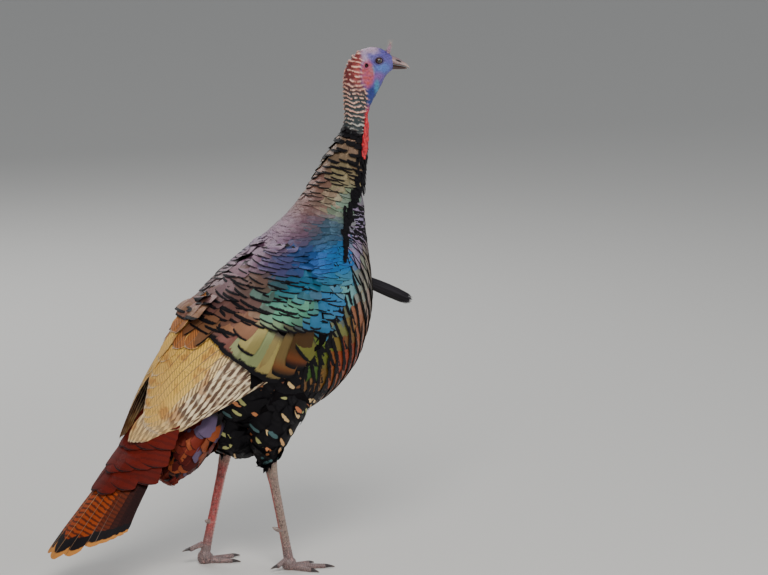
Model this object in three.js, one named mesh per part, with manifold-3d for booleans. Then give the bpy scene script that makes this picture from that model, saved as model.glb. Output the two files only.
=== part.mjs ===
// A wild turkey gobbler in mid-stride: life size, in millimetres, +X the way it walks, +Y its left, +Z up.
// The outline is that of the plumage. Each part that has a name of its own is one closed solid.
import * as THREE from "three";
import { mergeVertices } from "three/addons/utils/BufferGeometryUtils.js";
import Module from "manifold-3d";

const wasm = await Module();
wasm.setup();

// ---- driving dimensions ----
const GAP = 0.4; // clearance between neighbouring parts
const HEAD_TURN = THREE.MathUtils.degToRad(-28); // the head looks this far to the bird's right
const TURN_AXIS_X = 205; // the neck twists about this upright line
const TURN_LOW = 640; // height where the twist begins
const TURN_HIGH = 810; // height where it is complete
const BODY_SIDES = 24; // facets round the neck and trunk

// The body from the bill to the root of the tail. Each station is a section through a point of the
// back and a point of the throat or belly, as x and z in the bird's middle plane, and its half width.
const STATIONS = [
  { at: "bill_root", back: [278, 875], belly: [280, 852.5], half: 9 },
  { at: "forehead", back: [269, 882], belly: [273, 847], half: 13.5 },
  { at: "eyes", back: [257, 888], belly: [266, 839], half: 16.5 },
  { at: "crown", back: [243, 890], belly: [260, 826], half: 18 },
  { at: "ears", back: [228, 886], belly: [253, 813], half: 18.5 },
  { at: "nape", back: [212, 876], belly: [246, 800], half: 18.5 },
  { at: "gullet", back: [200, 857], belly: [240, 787], half: 18.5 },
  { at: "bare_neck", back: [195, 830], belly: [236, 774], half: 18.5 },
  { at: "bare_neck_middle", back: [195, 803], belly: [234, 760], half: 19 },
  { at: "bare_neck_foot", back: [197, 776], belly: [234, 748], half: 19.5 },
  { at: "first_feathers", back: [193, 750], belly: [235, 735], half: 21.5 },
  { at: "neck_top", back: [172, 716], belly: [235, 718], half: 27 },
  { at: "neck_upper", back: [150, 682], belly: [233, 697], half: 34 },
  { at: "neck_middle", back: [129, 650], belly: [229, 672], half: 42 },
  { at: "neck_lower", back: [112, 628], belly: [225, 637], half: 51 },
  { at: "neck_root", back: [98, 612], belly: [223, 595], half: 64 },
  { at: "crop", back: [84, 598], belly: [225, 548], half: 80 },
  { at: "shoulder", back: [67, 584], belly: [228, 500], half: 97 },
  { at: "breast", back: [46, 566], belly: [228, 450], half: 111 },
  { at: "deep_breast", back: [20, 546], belly: [217, 398], half: 119 },
  { at: "keel", back: [-8, 522], belly: [194, 343], half: 123 },
  { at: "flank", back: [-38, 495], belly: [152, 298], half: 121 },
  { at: "belly", back: [-66, 463], belly: [96, 267], half: 113 },
  { at: "hind_belly", back: [-86, 430], belly: [38, 247], half: 99 },
  { at: "vent", back: [-100, 402], belly: [-16, 244], half: 80 },
  { at: "rump", back: [-110, 380], belly: [-58, 262], half: 58 },
  { at: "tail_root", back: [-116, 362], belly: [-88, 290], half: 37 },
];

const LAST = STATIONS.length - 1;

// ---- general shapes ----
const vec = (x, y, z) => new THREE.Vector3(x, y, z);
const stationIndex = (name) => STATIONS.findIndex((station) => station.at === name);
const smooth = (low, high, value) => THREE.MathUtils.smoothstep(value, low, high);

// A value that runs smoothly through a list of values, with t from 0 to the last one's number.
function through(values, t) {
  const last = values.length - 1;
  const i = Math.min(Math.floor(t), last - 1);
  const f = t - i;
  const [p0, p1, p2, p3] = [-1, 0, 1, 2].map((k) => values[Math.max(0, Math.min(last, i + k))]);
  const slope0 = (p2 - p0) / 2;
  const slope1 = (p3 - p1) / 2;
  const a = 2 * p1 - 2 * p2 + slope0 + slope1;
  const b = 3 * p2 - 3 * p1 - 2 * slope0 - slope1;
  return ((a * f + b) * f + slope0) * f + p1;
}

// A closed surface through rings of points, each ring of the same even number, with strips over both ends.
function skinned(rings) {
  const sides = rings[0].length;
  const points = rings.flat();
  const faces = [];
  for (let r = 0; r + 1 < rings.length; r++)
    for (let k = 0; k < sides; k++) {
      const next = (k + 1) % sides;
      const [a, b] = [r * sides + k, r * sides + next];
      faces.push(a, b, a + sides, b, b + sides, a + sides);
    }
  const lastRing = (rings.length - 1) * sides;
  for (let k = 0; k + 1 < sides / 2; k++) {
    const [a, b, c, d] = [k, k + 1, sides - 2 - k, sides - 1 - k];
    faces.push(b, a, d, b, d, c);
    faces.push(...[a, b, d, b, c, d].map((corner) => lastRing + corner));
  }
  const geometry = new THREE.BufferGeometry().setFromPoints(points);
  geometry.setIndex(faces);
  return geometry;
}

// A three.js geometry as a manifold-3d solid, with its faces turned outwards.
function solid(geometry) {
  const bare = geometry.clone();
  bare.deleteAttribute("normal");
  bare.deleteAttribute("uv");
  const merged = mergeVertices(bare, 1e-4);
  const vertProperties = new Float32Array(merged.attributes.position.array);
  const triVerts = new Uint32Array(merged.index.array);
  const make = () => new wasm.Manifold(new wasm.Mesh({ numProp: 3, vertProperties, triVerts }));
  if (make().volume() > 0) return make();
  for (let i = 0; i < triVerts.length; i += 3)
    [triVerts[i + 1], triVerts[i + 2]] = [triVerts[i + 2], triVerts[i + 1]];
  return make();
}

// The places from one value to another, with each whole multiple of 1 / count between them.
function places(from, to, count) {
  const list = [from];
  for (let i = Math.floor(from * count) + 1; i < to * count; i++) list.push(i / count);
  return [...list, to];
}

// The largest body of a manifold-3d solid, as a geometry.
function geometryOf(made) {
  const bodies = made.decompose().sort((a, b) => b.volume() - a.volume());
  const mesh = bodies[0].getMesh();
  const geometry = new THREE.BufferGeometry();
  geometry.setAttribute("position", new THREE.BufferAttribute(new Float32Array(mesh.vertProperties), 3));
  geometry.setIndex(new THREE.BufferAttribute(new Uint32Array(mesh.triVerts), 1));
  return geometry;
}

const cut = (made, ...tools) => tools.reduce((left, tool) => left.subtract(tool), made);

// Twists the neck and head about the upright line, more the higher the point is.
function turned(point) {
  const angle = HEAD_TURN * smooth(TURN_LOW, TURN_HIGH, point.z);
  const [dx, dy] = [point.x - TURN_AXIS_X, point.y];
  const [c, s] = [Math.cos(angle), Math.sin(angle)];
  return vec(TURN_AXIS_X + c * dx - s * dy, s * dx + c * dy, point.z);
}

// A tube with oval sections: each stop has a centre, a half size along `fore` and one across it.
function limb(stops, { sides = 12, steps = 3, fore = vec(1, 0, 0), grow = 0 } = {}) {
  const rings = [];
  const count = (stops.length - 1) * steps;
  const value = (pick, t) => through(stops.map(pick), t);
  const centreAt = (t) =>
    vec(value((s) => s.centre[0], t), value((s) => s.centre[1], t), value((s) => s.centre[2], t));
  for (let i = 0; i <= count; i++) {
    const t = i / steps;
    const along = centreAt(Math.min(t + 0.05, stops.length - 1)).sub(centreAt(Math.max(t - 0.05, 0)));
    along.normalize();
    const front = fore.clone().addScaledVector(along, -fore.dot(along)).normalize();
    const across = along.clone().cross(front);
    const centre = centreAt(t);
    const [deep, wide] = [value((s) => s.deep, t) + grow, value((s) => s.wide, t) + grow];
    rings.push(
      Array.from({ length: sides }, (_, k) => {
        const angle = (2 * Math.PI * k) / sides;
        return centre
          .clone()
          .addScaledVector(front, deep * Math.cos(angle))
          .addScaledVector(across, wide * Math.sin(angle));
      }),
    );
  }
  return skinned(rings);
}

// ---- forms given by sections: the head, neck and trunk, and the two halves of the bill ----
const FULLNESS = 0.92; // below 1, the oval sections are a little squarer than an ellipse

function sectionPoint(stations, t, angle, grow = 0) {
  const value = (pick) => through(stations.map(pick), t);
  const back = vec(value((s) => s.back[0]), 0, value((s) => s.back[1]));
  const belly = vec(value((s) => s.belly[0]), 0, value((s) => s.belly[1]));
  const up = back.clone().sub(belly);
  const depth = up.length() / 2 + grow;
  const squared = (x) => Math.sign(x) * Math.abs(x) ** FULLNESS;
  const point = back.add(belly).divideScalar(2);
  point.addScaledVector(up.normalize(), depth * squared(Math.cos(angle)));
  point.y = (value((s) => s.half) + grow) * squared(Math.sin(angle));
  return turned(point);
}

// One length of such a form, with a ring at each whole station inside it.
function lengthOf(stations, from, to, { grow = 0, sides = BODY_SIDES } = {}) {
  const angles = Array.from({ length: sides }, (_, k) => (2 * Math.PI * k) / sides);
  const ringAt = (t) => angles.map((angle) => sectionPoint(stations, t, angle, grow));
  return solid(skinned(places(from, to, 1).map(ringAt)));
}

const UPPER_BILL = [
  { back: [271, 878], belly: [277, 861], half: 8.6 },
  { back: [285, 873], belly: [287, 859.4], half: 7.2 },
  { back: [296, 867], belly: [297, 857.8], half: 5 },
  { back: [304, 861], belly: [304, 855.6], half: 2.8 },
  { back: [308.5, 855], belly: [307, 853], half: 1.1 },
];
const LOWER_BILL = [
  { back: [277, 860], belly: [280, 851.5], half: 7.6 },
  { back: [288, 858.4], belly: [289, 851.5], half: 5.8 },
  { back: [297, 856.8], belly: [297, 851.8], half: 3.8 },
  { back: [304, 854.6], belly: [304, 852.4], half: 1.4 },
];

// ---- the wing: a shell over the flank, from the bend of the wing to the tips of its quills ----
// Each stop has the wing's upper and lower edge, for the right wing, and how far its middle bulges.
const WING = [
  { upper: [62, -78, 552], lower: [96, -112, 420], bulge: 22 },
  { upper: [42, -64, 550], lower: [72, -122, 388], bulge: 34 },
  { upper: [0, -46, 532], lower: [20, -123, 360], bulge: 41 },
  { upper: [-48, -26, 502], lower: [-30, -115, 340], bulge: 41 },
  { upper: [-98, -11, 463], lower: [-80, -100, 316], bulge: 37 },
  { upper: [-139, -4, 419], lower: [-124, -84, 294], bulge: 31 },
  { upper: [-175, -4, 371], lower: [-163, -69, 273], bulge: 24 },
  { upper: [-205, -6, 322], lower: [-195, -54, 254], bulge: 14 },
  { upper: [-230, -9, 271], lower: [-221, -38, 242], bulge: 5 },
  { upper: [-239, -15, 251], lower: [-235, -26, 240], bulge: 1 },
];
const WING_TIP = WING.length - 1;
const WING_DEEP = 30; // depth of the shell at the shoulder, where the trunk is cut out of it
const WING_THIN = 10; // depth of the shell past the trunk
const WING_EDGE = 4; // depth of the shell at its tip
const WING_OVER_TRUNK = 5; // least height of the wing over the trunk
const WING_RINGS = 1.5; // rings between two stops
const WING_ROWS = 6; // facets across the whole wing
const MARGIN_ALONG = 0.012; // of the space between two stops, left open at a cut across the wing
const MARGIN_ACROSS = 0.004; // of the wing's width, left open at a cut along it
const COVERTS_END = 3.4; // the wing coverts reach this stop
const PRIMARIES_FROM = 0.8; // the primaries show below this share of the wing's width

// Moves a point out from the trunk's middle until it is at least `height` over the trunk.
function clearOfTrunk(point, height) {
  const at = (pick, t) => through(STATIONS.map(pick), t);
  const sectionAt = (t) => {
    const back = vec(at((s) => s.back[0], t), 0, at((s) => s.back[1], t));
    const belly = vec(at((s) => s.belly[0], t), 0, at((s) => s.belly[1], t));
    const centre = back.clone().add(belly).divideScalar(2);
    return { centre, up: back.sub(belly), half: at((s) => s.half, t) };
  };
  const isBehind = ({ centre, up }) => point.clone().sub(centre).dot(vec(-up.z, 0, up.x)) > 0;
  let [front, rear] = [stationIndex("neck_root"), LAST];
  if (isBehind(sectionAt(rear))) return point;
  for (let i = 0; i < 12; i++) {
    const middle = (front + rear) / 2;
    if (isBehind(sectionAt(middle))) front = middle;
    else rear = middle;
  }
  const { centre, up, half } = sectionAt(front);
  const depth = up.length() / 2;
  const rise = point.clone().sub(centre).dot(up.normalize());
  const power = 2 / FULLNESS;
  const reach = (Math.abs(rise / depth) ** power + Math.abs(point.y / half) ** power) ** (1 / power);
  const out = Math.max(1, (1 + height / half) / reach);
  return centre.addScaledVector(up, rise * out).add(vec(0, point.y * out, 0));
}

function wingPoint(t, v, inset = 0) {
  const at = (key, k) => through(WING.map((stop) => stop[key][k]), t);
  const upper = vec(at("upper", 0), at("upper", 1), at("upper", 2));
  const lower = vec(at("lower", 0), at("lower", 1), at("lower", 2));
  const bulge = through(WING.map((stop) => stop.bulge), t);
  const chord = lower.clone().sub(upper);
  const out = vec(0, -1, 0).addScaledVector(chord, chord.y / chord.lengthSq()).normalize();
  const middle = upper.clone().add(lower).divideScalar(2).addScaledVector(out, 2 * bulge);
  const point = upper
    .multiplyScalar((1 - v) ** 2)
    .addScaledVector(middle, 2 * v * (1 - v))
    .addScaledVector(lower, v ** 2);
  point.copy(clearOfTrunk(point, WING_OVER_TRUNK));
  const inward = vec(0, 1, 0).lerp(vec(0.3, 0, -1).normalize(), 0.75 * (1 - v) ** 2).normalize();
  return point.addScaledVector(inward, inset);
}

// The part of the wing between two stops and two shares of its width.
function wingPart([from, to], [above, below], grow = 0) {
  const margins = grow ? [MARGIN_ALONG, MARGIN_ACROSS] : [0, 0];
  const row = places(above - margins[1], below + margins[1], WING_ROWS);
  const rings = places(from - margins[0], to + margins[0], WING_RINGS).map((t) => {
    const body = THREE.MathUtils.lerp(WING_DEEP, WING_THIN, smooth(1, 6, t));
    const deep = THREE.MathUtils.lerp(body, WING_EDGE, smooth(WING_TIP - 2, WING_TIP, t));
    const outer = row.map((v) => wingPoint(t, v, -grow));
    const inner = row.map((v) => wingPoint(t, v, deep + grow)).reverse();
    return [...outer, ...inner];
  });
  return solid(skinned(rings)).trimByPlane([0, -1, 0], GAP / 2 - grow);
}

// ---- the tail: a closed fan, arched like a roof, with the middle quills the longest ----
const TAIL_ROOT = vec(-110, 0, 368);
const TAIL_TIP = vec(-381, 0, 56);
const TAIL_HALF_ROOT = 60; // half the width along the arch
const TAIL_HALF_TIP = 88;
const TAIL_ARCH = THREE.MathUtils.degToRad(54); // how steep the arch is at its edge
const TAIL_GRADING = 0.27; // how much shorter the outermost quills are
const TAIL_THICK_ROOT = 16;
const TAIL_THICK_TIP = 4;

function tailPoint(t, q, lift = 0) {
  const along = TAIL_TIP.clone().sub(TAIL_ROOT);
  const up = vec(along.z, 0, -along.x).normalize();
  const angle = q * TAIL_ARCH;
  const radius = THREE.MathUtils.lerp(TAIL_HALF_ROOT, TAIL_HALF_TIP, Math.min(t, 1)) / TAIL_ARCH;
  const reach = t * (1 - TAIL_GRADING * Math.abs(q) ** 1.6 * Math.min(1, t));
  return TAIL_ROOT.clone()
    .addScaledVector(along, reach)
    .addScaledVector(up, (radius + lift) * Math.cos(angle) - radius)
    .add(vec(0, (radius + lift) * Math.sin(angle), 0));
}

// A layer of the tail between two heights above its top, over part of its length.
function tailLayer(t0, t1, topAt, bottomAt, { across = 11, along = 5, reach = 1 } = {}) {
  const rings = [];
  for (let i = 0; i <= along; i++) {
    const t = t0 + ((t1 - t0) * i) / along;
    const row = Array.from({ length: across }, (_, k) => reach * (-1 + (2 * k) / (across - 1)));
    const top = row.map((q) => tailPoint(t, q, topAt(t)));
    const bottom = row.map((q) => tailPoint(t, q, bottomAt(t))).reverse();
    rings.push([...top, ...bottom]);
  }
  return solid(skinned(rings));
}

// ---- legs: feathered thigh, scaled shank with its spur, and four toes with claws ----
const LEGS = {
  right: { side: -1, hock: [16, -57, 188], foot: [52, -57, 14], turn: -20, hindTurn: 12, hindRise: [17, 6] },
  left: { side: 1, hock: [-10, 57, 191], foot: [-53, 56, 15], turn: 12, hindTurn: -4, hindRise: [32, 24] },
};
const PAD_RADIUS = 13;
const TOES = [
  { name: "middle", spread: 0, length: 63, root: 6.2, tip: 4, claw: 17, joints: 3 },
  { name: "inner", spread: -37, length: 44, root: 5.8, tip: 3.8, claw: 15, joints: 2 },
  { name: "outer", spread: 38, length: 48, root: 5.8, tip: 3.8, claw: 15, joints: 3 },
  { name: "hind", length: 28, root: 5, tip: 4, claw: 14, joints: 1 },
];
const THIGH_TOP = [22, 66, 326]; // where the thigh leaves the flank, for a leg on the left
// Sections of the thigh: share of the way to the hock, how far behind that line, half depth and width.
const THIGH = [
  { share: 0, behind: 0, deep: 66, wide: 42 },
  { share: 0.3, behind: 2, deep: 54, wide: 40 },
  { share: 0.6, behind: 9, deep: 37, wide: 34 },
  { share: 0.84, behind: 11, deep: 21, wide: 21 },
  { share: 0.96, behind: 2, deep: 12.5, wide: 12 },
];
const SPUR_HEIGHT = 0.33; // share of the shank's length above the foot
const SPUR_LENGTH = 13;

const lerp3 = (a, b, f) => a.map((value, k) => value + (b[k] - value) * f);

function thigh({ side, hock }, grow = 0) {
  const top = [THIGH_TOP[0] + hock[0] * 0.6, side * THIGH_TOP[1], THIGH_TOP[2]];
  const stops = THIGH.map(({ share, behind, deep, wide }) => {
    const [x, y, z] = lerp3(top, hock, share);
    return { centre: [x - behind, y, z], deep, wide };
  });
  return solid(limb(stops, { sides: 16, steps: 1, grow }));
}

function shank({ hock, foot }, grow = 0) {
  const above = [hock[0] + 3, hock[1], hock[2] + 13];
  const stops = [
    { centre: above, deep: 9, wide: 8 },
    { centre: [hock[0] + 1, hock[1], hock[2] + 4], deep: 11, wide: 9.5 },
    { centre: lerp3(hock, foot, 0.06), deep: 10.6, wide: 9 },
    { centre: lerp3(hock, foot, 0.2), deep: 8.6, wide: 6.6 },
    { centre: lerp3(hock, foot, 0.5), deep: 8, wide: 6 },
    { centre: lerp3(hock, foot, 0.8), deep: 8, wide: 6.6 },
    { centre: lerp3(hock, foot, 0.98), deep: 8.6, wide: 8.6 },
  ];
  return solid(limb(stops, { sides: 10, steps: 1, grow }));
}

// The part of a solid that stands on the floor, cut flat at the floor's level.
const onFloor = (made) => made.trimByPlane([0, 0, 1], 0);

function pad({ foot }, grow = 0) {
  const ball = new THREE.SphereGeometry(1, 12, 8);
  ball.scale(PAD_RADIUS + grow, PAD_RADIUS - 1 + grow, foot[2] - 1 + grow);
  ball.translate(foot[0], foot[1], foot[2] * 0.72);
  return solid(ball);
}

// A point on a toe: `reach` along it, at the height of its middle.
function toePoint(leg, toe, reach, height) {
  const raised = toe.name === "hind";
  const turn = raised ? leg.hindTurn : leg.turn - leg.side * toe.spread;
  const angle = THREE.MathUtils.degToRad(raised ? 180 + turn : turn);
  const lift = raised ? THREE.MathUtils.lerp(...leg.hindRise, reach / toe.length) : 0;
  const [x, y] = [leg.foot[0] + reach * Math.cos(angle), leg.foot[1] + reach * Math.sin(angle)];
  return [x, y, height + lift];
}

function toe(leg, shape, grow = 0) {
  const stops = [];
  const count = shape.joints + 1;
  for (let i = 0; i <= count; i++) {
    const share = i / count;
    const radius = THREE.MathUtils.lerp(shape.root, shape.tip, share);
    stops.push({
      centre: toePoint(leg, shape, 4 + (shape.length - 4) * share, radius * 0.82),
      deep: radius,
      wide: radius,
    });
  }
  return solid(limb(stops, { sides: 8, steps: 1, fore: vec(0, 0, 1), grow }));
}

function claw(leg, shape) {
  const count = 3;
  const stops = [];
  for (let i = 0; i <= count; i++) {
    const share = i / count;
    const radius = THREE.MathUtils.lerp(shape.tip * 0.86, 0.7, share ** 0.8);
    const droop = shape.tip * 0.95 - (shape.tip * 0.95 - 1.2) * share ** 2;
    stops.push({
      centre: toePoint(leg, shape, shape.length + 2 * GAP + shape.claw * share, droop),
      deep: radius,
      wide: radius * 0.8,
    });
  }
  return solid(limb(stops, { sides: 6, steps: 1, fore: vec(0, 0, 1) }));
}

function spur({ side, hock, foot }) {
  const root = lerp3(foot, hock, SPUR_HEIGHT);
  const stops = [0, 1, 2, 3].map((k) => {
    const share = k / 3;
    const [x, y] = [root[0] - 4 - SPUR_LENGTH * share, root[1] - side * 7 * share];
    return { centre: [x, y, root[2] + 5 * share ** 2], deep: 5.4 - 4.4 * share, wide: 4.6 - 3.8 * share };
  });
  return solid(limb(stops, { sides: 8, steps: 1, fore: vec(0, 0, 1) }));
}

// ---- assembly ----
const bird = new THREE.Group();

function add(name, made, { colour, roughness = 0.8, metalness = 0 }) {
  const geometry = geometryOf(made);
  const material = new THREE.MeshStandardMaterial({ color: colour, roughness, metalness });
  const mesh = new THREE.Mesh(geometry, material);
  mesh.name = name;
  geometry.computeVertexNormals();
  bird.add(mesh);
}

const PLUMAGE = { colour: 0x4d4a3c, roughness: 0.5, metalness: 0.3 };
const QUILLS = { colour: 0xb08d5a, roughness: 0.7 };
const CHESTNUT = { colour: 0x6e2012, roughness: 0.7 };
const BLACK = { colour: 0x0c0a10, roughness: 0.7 };
const BLUE_SKIN = { colour: 0x6674b8, roughness: 0.6 };
const RED_SKIN = { colour: 0xc0393d, roughness: 0.55 };
const LEG_SCALES = { colour: 0xa36a66, roughness: 0.6 };
const HORN = { colour: 0x7d6a60, roughness: 0.45 };
const CLAW_HORN = { colour: 0x2c2422, roughness: 0.4 };
const EYE = { colour: 0x1c0f0a, roughness: 0.05 };

// The whole body, and the same a little larger, for cutting its neighbours clear of it.
const CUT_SHARE = 0.015; // of the way between two stations, left open on each side of a cut
const bodyGrown = lengthOf(STATIONS, 0, LAST, { grow: GAP });
const neckGrown = lengthOf(STATIONS, stationIndex("eyes"), stationIndex("crop"), { grow: GAP });

const BODY_LENGTHS = {
  head: ["bill_root", "nape", BLUE_SKIN],
  neck_bare: ["nape", "first_feathers", RED_SKIN],
  neck_upper: ["first_feathers", "neck_middle", PLUMAGE],
  neck_lower: ["neck_middle", "crop", PLUMAGE],
  breast: ["crop", "keel", PLUMAGE],
  trunk: ["keel", "vent", PLUMAGE],
  rump: ["vent", "tail_root", PLUMAGE],
};

const EYE_RADIUS = 7;
const EYE_PLACE = [255.5, 12, 868.5];
function eyeBall(side, grow = 0) {
  const ball = new THREE.SphereGeometry(EYE_RADIUS + grow, 14, 8);
  const place = turned(vec(EYE_PLACE[0], side * EYE_PLACE[1], EYE_PLACE[2]));
  return solid(ball.translate(place.x, place.y, place.z));
}
add("eye_left", eyeBall(1), EYE);
add("eye_right", eyeBall(-1), EYE);

const upperBill = lengthOf(UPPER_BILL, 0, UPPER_BILL.length - 1, { sides: 12 });
const lowerBill = lengthOf(LOWER_BILL, 0, LOWER_BILL.length - 1, { sides: 12 });
add("bill_upper", cut(upperBill, neckHead(GAP)), HORN);
add("bill_lower", cut(lowerBill, neckHead(GAP)), HORN);

function neckHead(grow) {
  return lengthOf(STATIONS, 0, stationIndex("neck_top"), { grow });
}

for (const [name, [from, to, finish]] of Object.entries(BODY_LENGTHS)) {
  const start = stationIndex(from) + (from === "bill_root" ? 0 : CUT_SHARE);
  const end = stationIndex(to) - CUT_SHARE;
  const length = lengthOf(STATIONS, start, end);
  const sockets = name === "head" ? [eyeBall(1, GAP), eyeBall(-1, GAP)] : [];
  add(name, cut(length, ...sockets), finish);
}

// A soft piece along a few stops, turned with the neck and cut clear of it.
function onNeck(stops, options = {}) {
  const turnedStops = stops.map(({ centre, deep, wide }) => {
    const { x, y, z } = turned(vec(...centre));
    return { centre: [x, y, z], deep, wide };
  });
  return cut(solid(limb(turnedStops, { sides: 8, steps: 1, ...options })), neckGrown, neckHead(GAP));
}
const SNOOD = [
  { centre: [270, 0, 876], deep: 5, wide: 4.4 },
  { centre: [272, 0, 885], deep: 4, wide: 3.6 },
  { centre: [274.5, 0, 892], deep: 2.6, wide: 2.4 },
  { centre: [276, 0, 897.5], deep: 0.9, wide: 0.9 },
];
add("snood", onNeck(SNOOD), RED_SKIN);
const WATTLE = [
  { centre: [233, -8, 781], deep: 2.5, wide: 3.5 },
  { centre: [232, -12, 760], deep: 5, wide: 5.5 },
  { centre: [229, -16, 740], deep: 7, wide: 7 },
  { centre: [225, -21, 718], deep: 8, wide: 8 },
  { centre: [219, -26, 699], deep: 4.5, wide: 4.5 },
];
add("wattle", onNeck(WATTLE), RED_SKIN);

const BEARD = [
  { centre: [210, 0, 490], deep: 6, wide: 5 },
  { centre: [248, 0, 475], deep: 7.5, wide: 6 },
  { centre: [284, 0, 458], deep: 7, wide: 6 },
  { centre: [312, 0, 445], deep: 4.5, wide: 4 },
  { centre: [324, 0, 439], deep: 1.2, wide: 1.2 },
];
add("beard", cut(solid(limb(BEARD, { sides: 8, steps: 1, fore: vec(0, 0, 1) })), bodyGrown), BLACK);

// Wings. The left one is the right one mirrored.
const WING_PARTS = {
  secondaries: { along: [COVERTS_END, WING_TIP], across: [0, PRIMARIES_FROM], finish: QUILLS },
  primaries: { along: [COVERTS_END, WING_TIP], across: [PRIMARIES_FROM, 1], finish: QUILLS },
  coverts: { along: [0, COVERTS_END], across: [0, 1], finish: PLUMAGE },
};
const otherSide = (made) => made.mirror([0, 1, 0]);
const rightGrown = [];
for (const [name, { along, across, finish }] of Object.entries(WING_PARTS)) {
  const right = cut(wingPart(along, across), ...rightGrown);
  add(`wing_right_${name}`, cut(right, bodyGrown), finish);
  add(`wing_left_${name}`, cut(otherSide(right), bodyGrown), finish);
  rightGrown.push(wingPart(along, across, GAP));
}
const wingsGrown = [...rightGrown, ...rightGrown.map(otherSide)];

// Tail, with the coverts that lie over and under its root.
const tailTop = () => 0;
const tailBottom = (t) => -THREE.MathUtils.lerp(TAIL_THICK_ROOT, TAIL_THICK_TIP, t);
const tail = cut(tailLayer(0, 1, tailTop, tailBottom), bodyGrown, ...wingsGrown);
add("tail", tail, CHESTNUT);
const COVERTS_REACH = 0.66; // how far down the tail the upper coverts lie
const coverTop = (t) => THREE.MathUtils.lerp(22, 4, (t / COVERTS_REACH) ** 2);
const coverts = tailLayer(0, COVERTS_REACH, coverTop, () => GAP, { along: 4, reach: 0.94 });
add("tail_coverts_upper", cut(coverts, bodyGrown, ...wingsGrown), CHESTNUT);
const BELLY = [
  { centre: [-4, 0, 290], deep: 66, wide: 52 },
  { centre: [-16, 0, 250], deep: 66, wide: 50 },
  { centre: [-32, 0, 222], deep: 54, wide: 42 },
  { centre: [-40, 0, 204], deep: 28, wide: 26 },
];
const belly = solid(limb(BELLY, { sides: 14, steps: 1 }));
const bellyGrown = solid(limb(BELLY, { sides: 14, steps: 1, grow: GAP }));
const UNDERTAIL = [
  { centre: [-70, 0, 292], deep: 40, wide: 52 },
  { centre: [-104, 0, 246], deep: 42, wide: 50 },
  { centre: [-134, 0, 207], deep: 36, wide: 40 },
  { centre: [-160, 0, 170], deep: 12, wide: 20 },
];
const tailGrown = tailLayer(-0.02, 1, () => GAP, (t) => tailBottom(t) - GAP, { reach: 1.01 });
const undertail = solid(limb(UNDERTAIL, { sides: 14, steps: 1 }));

// Legs.
const legSolids = [];
for (const [which, leg] of Object.entries(LEGS)) {
  const thighSolid = cut(thigh(leg), bodyGrown, ...wingsGrown, ...legSolids);
  add(`thigh_${which}`, cut(thighSolid, shank(leg, GAP)), PLUMAGE);
  legSolids.push(thigh(leg, GAP));
  const padSolid = onFloor(pad(leg));
  const padGrown = pad(leg, GAP);
  add(`shank_${which}`, cut(shank(leg), padGrown), LEG_SCALES);
  add(`foot_${which}`, padSolid, LEG_SCALES);
  add(`spur_${which}`, cut(spur(leg), shank(leg, GAP)), CLAW_HORN);
  const before = [padGrown, shank(leg, GAP)];
  for (const shape of TOES) {
    add(`toe_${shape.name}_${which}`, onFloor(cut(toe(leg, shape), ...before)), LEG_SCALES);
    add(`claw_${shape.name}_${which}`, onFloor(cut(claw(leg, shape), toe(leg, shape, GAP))), CLAW_HORN);
    before.push(toe(leg, shape, GAP));
  }
}
const underneath = [bodyGrown, tailGrown, ...wingsGrown, ...legSolids];
add("belly", cut(belly, ...underneath), BLACK);
add("tail_coverts_under", cut(undertail, bellyGrown, ...underneath), CHESTNUT);

// The origin is under the middle of the bird's box, on the floor.
const box = new THREE.Box3().setFromObject(bird);
bird.position.set(-(box.min.x + box.max.x) / 2, -(box.min.y + box.max.y) / 2, -box.min.z);

export default bird;
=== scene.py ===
import math
import bpy
import numpy as np
from mathutils import Matrix, Vector, noise
from mathutils.bvhtree import BVHTree


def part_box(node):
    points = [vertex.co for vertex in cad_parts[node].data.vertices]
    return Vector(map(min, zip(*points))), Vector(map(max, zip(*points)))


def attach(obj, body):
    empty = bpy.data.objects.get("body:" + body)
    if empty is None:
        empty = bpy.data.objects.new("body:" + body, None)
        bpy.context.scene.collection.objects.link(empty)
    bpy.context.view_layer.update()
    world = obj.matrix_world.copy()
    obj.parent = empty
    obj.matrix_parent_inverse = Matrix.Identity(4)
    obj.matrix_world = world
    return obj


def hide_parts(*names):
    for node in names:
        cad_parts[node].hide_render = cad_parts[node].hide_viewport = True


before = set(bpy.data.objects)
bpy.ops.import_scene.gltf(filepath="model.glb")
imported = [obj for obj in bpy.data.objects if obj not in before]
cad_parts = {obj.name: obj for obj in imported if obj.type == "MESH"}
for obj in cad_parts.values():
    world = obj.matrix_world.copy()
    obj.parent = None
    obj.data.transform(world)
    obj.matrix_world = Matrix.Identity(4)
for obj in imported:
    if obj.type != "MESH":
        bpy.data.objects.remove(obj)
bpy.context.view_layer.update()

# ---- The frame ----
# The bird is drawn in millimetres in its own coordinates: +X the way it walks, +Y its left, +Z up.
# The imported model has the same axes, with the middle of its box over the origin, so one shift along X
# takes one to the other. The centre of the right eye gives that shift.
MM = 0.001
EYE = np.array([255.5, 12.0, 868.5])  # centre of an eyeball, before the head is turned
EYE_RADIUS = 7.0
HEAD_TURN = math.radians(-28)
TURN_AXIS_X = 205
TURN_LOW, TURN_HIGH = 640, 810
RIGHT, LEFT = -1, 1


def smooth(low, high, value):
    """0 below low, 1 above high, and a smooth step between them."""
    share = np.clip((np.asarray(value, float) - low) / (high - low), 0, 1)
    return share * share * (3 - 2 * share)


def turned(points):
    """Points of the straight bird, where the twist of its neck takes them."""
    points = np.asarray(points, float)
    angle = HEAD_TURN * smooth(TURN_LOW, TURN_HIGH, points[..., 2])
    dx, y = points[..., 0] - TURN_AXIS_X, points[..., 1]
    x = TURN_AXIS_X + np.cos(angle) * dx - np.sin(angle) * y
    return np.stack([x, np.sin(angle) * dx + np.cos(angle) * y, points[..., 2]], -1)


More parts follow.
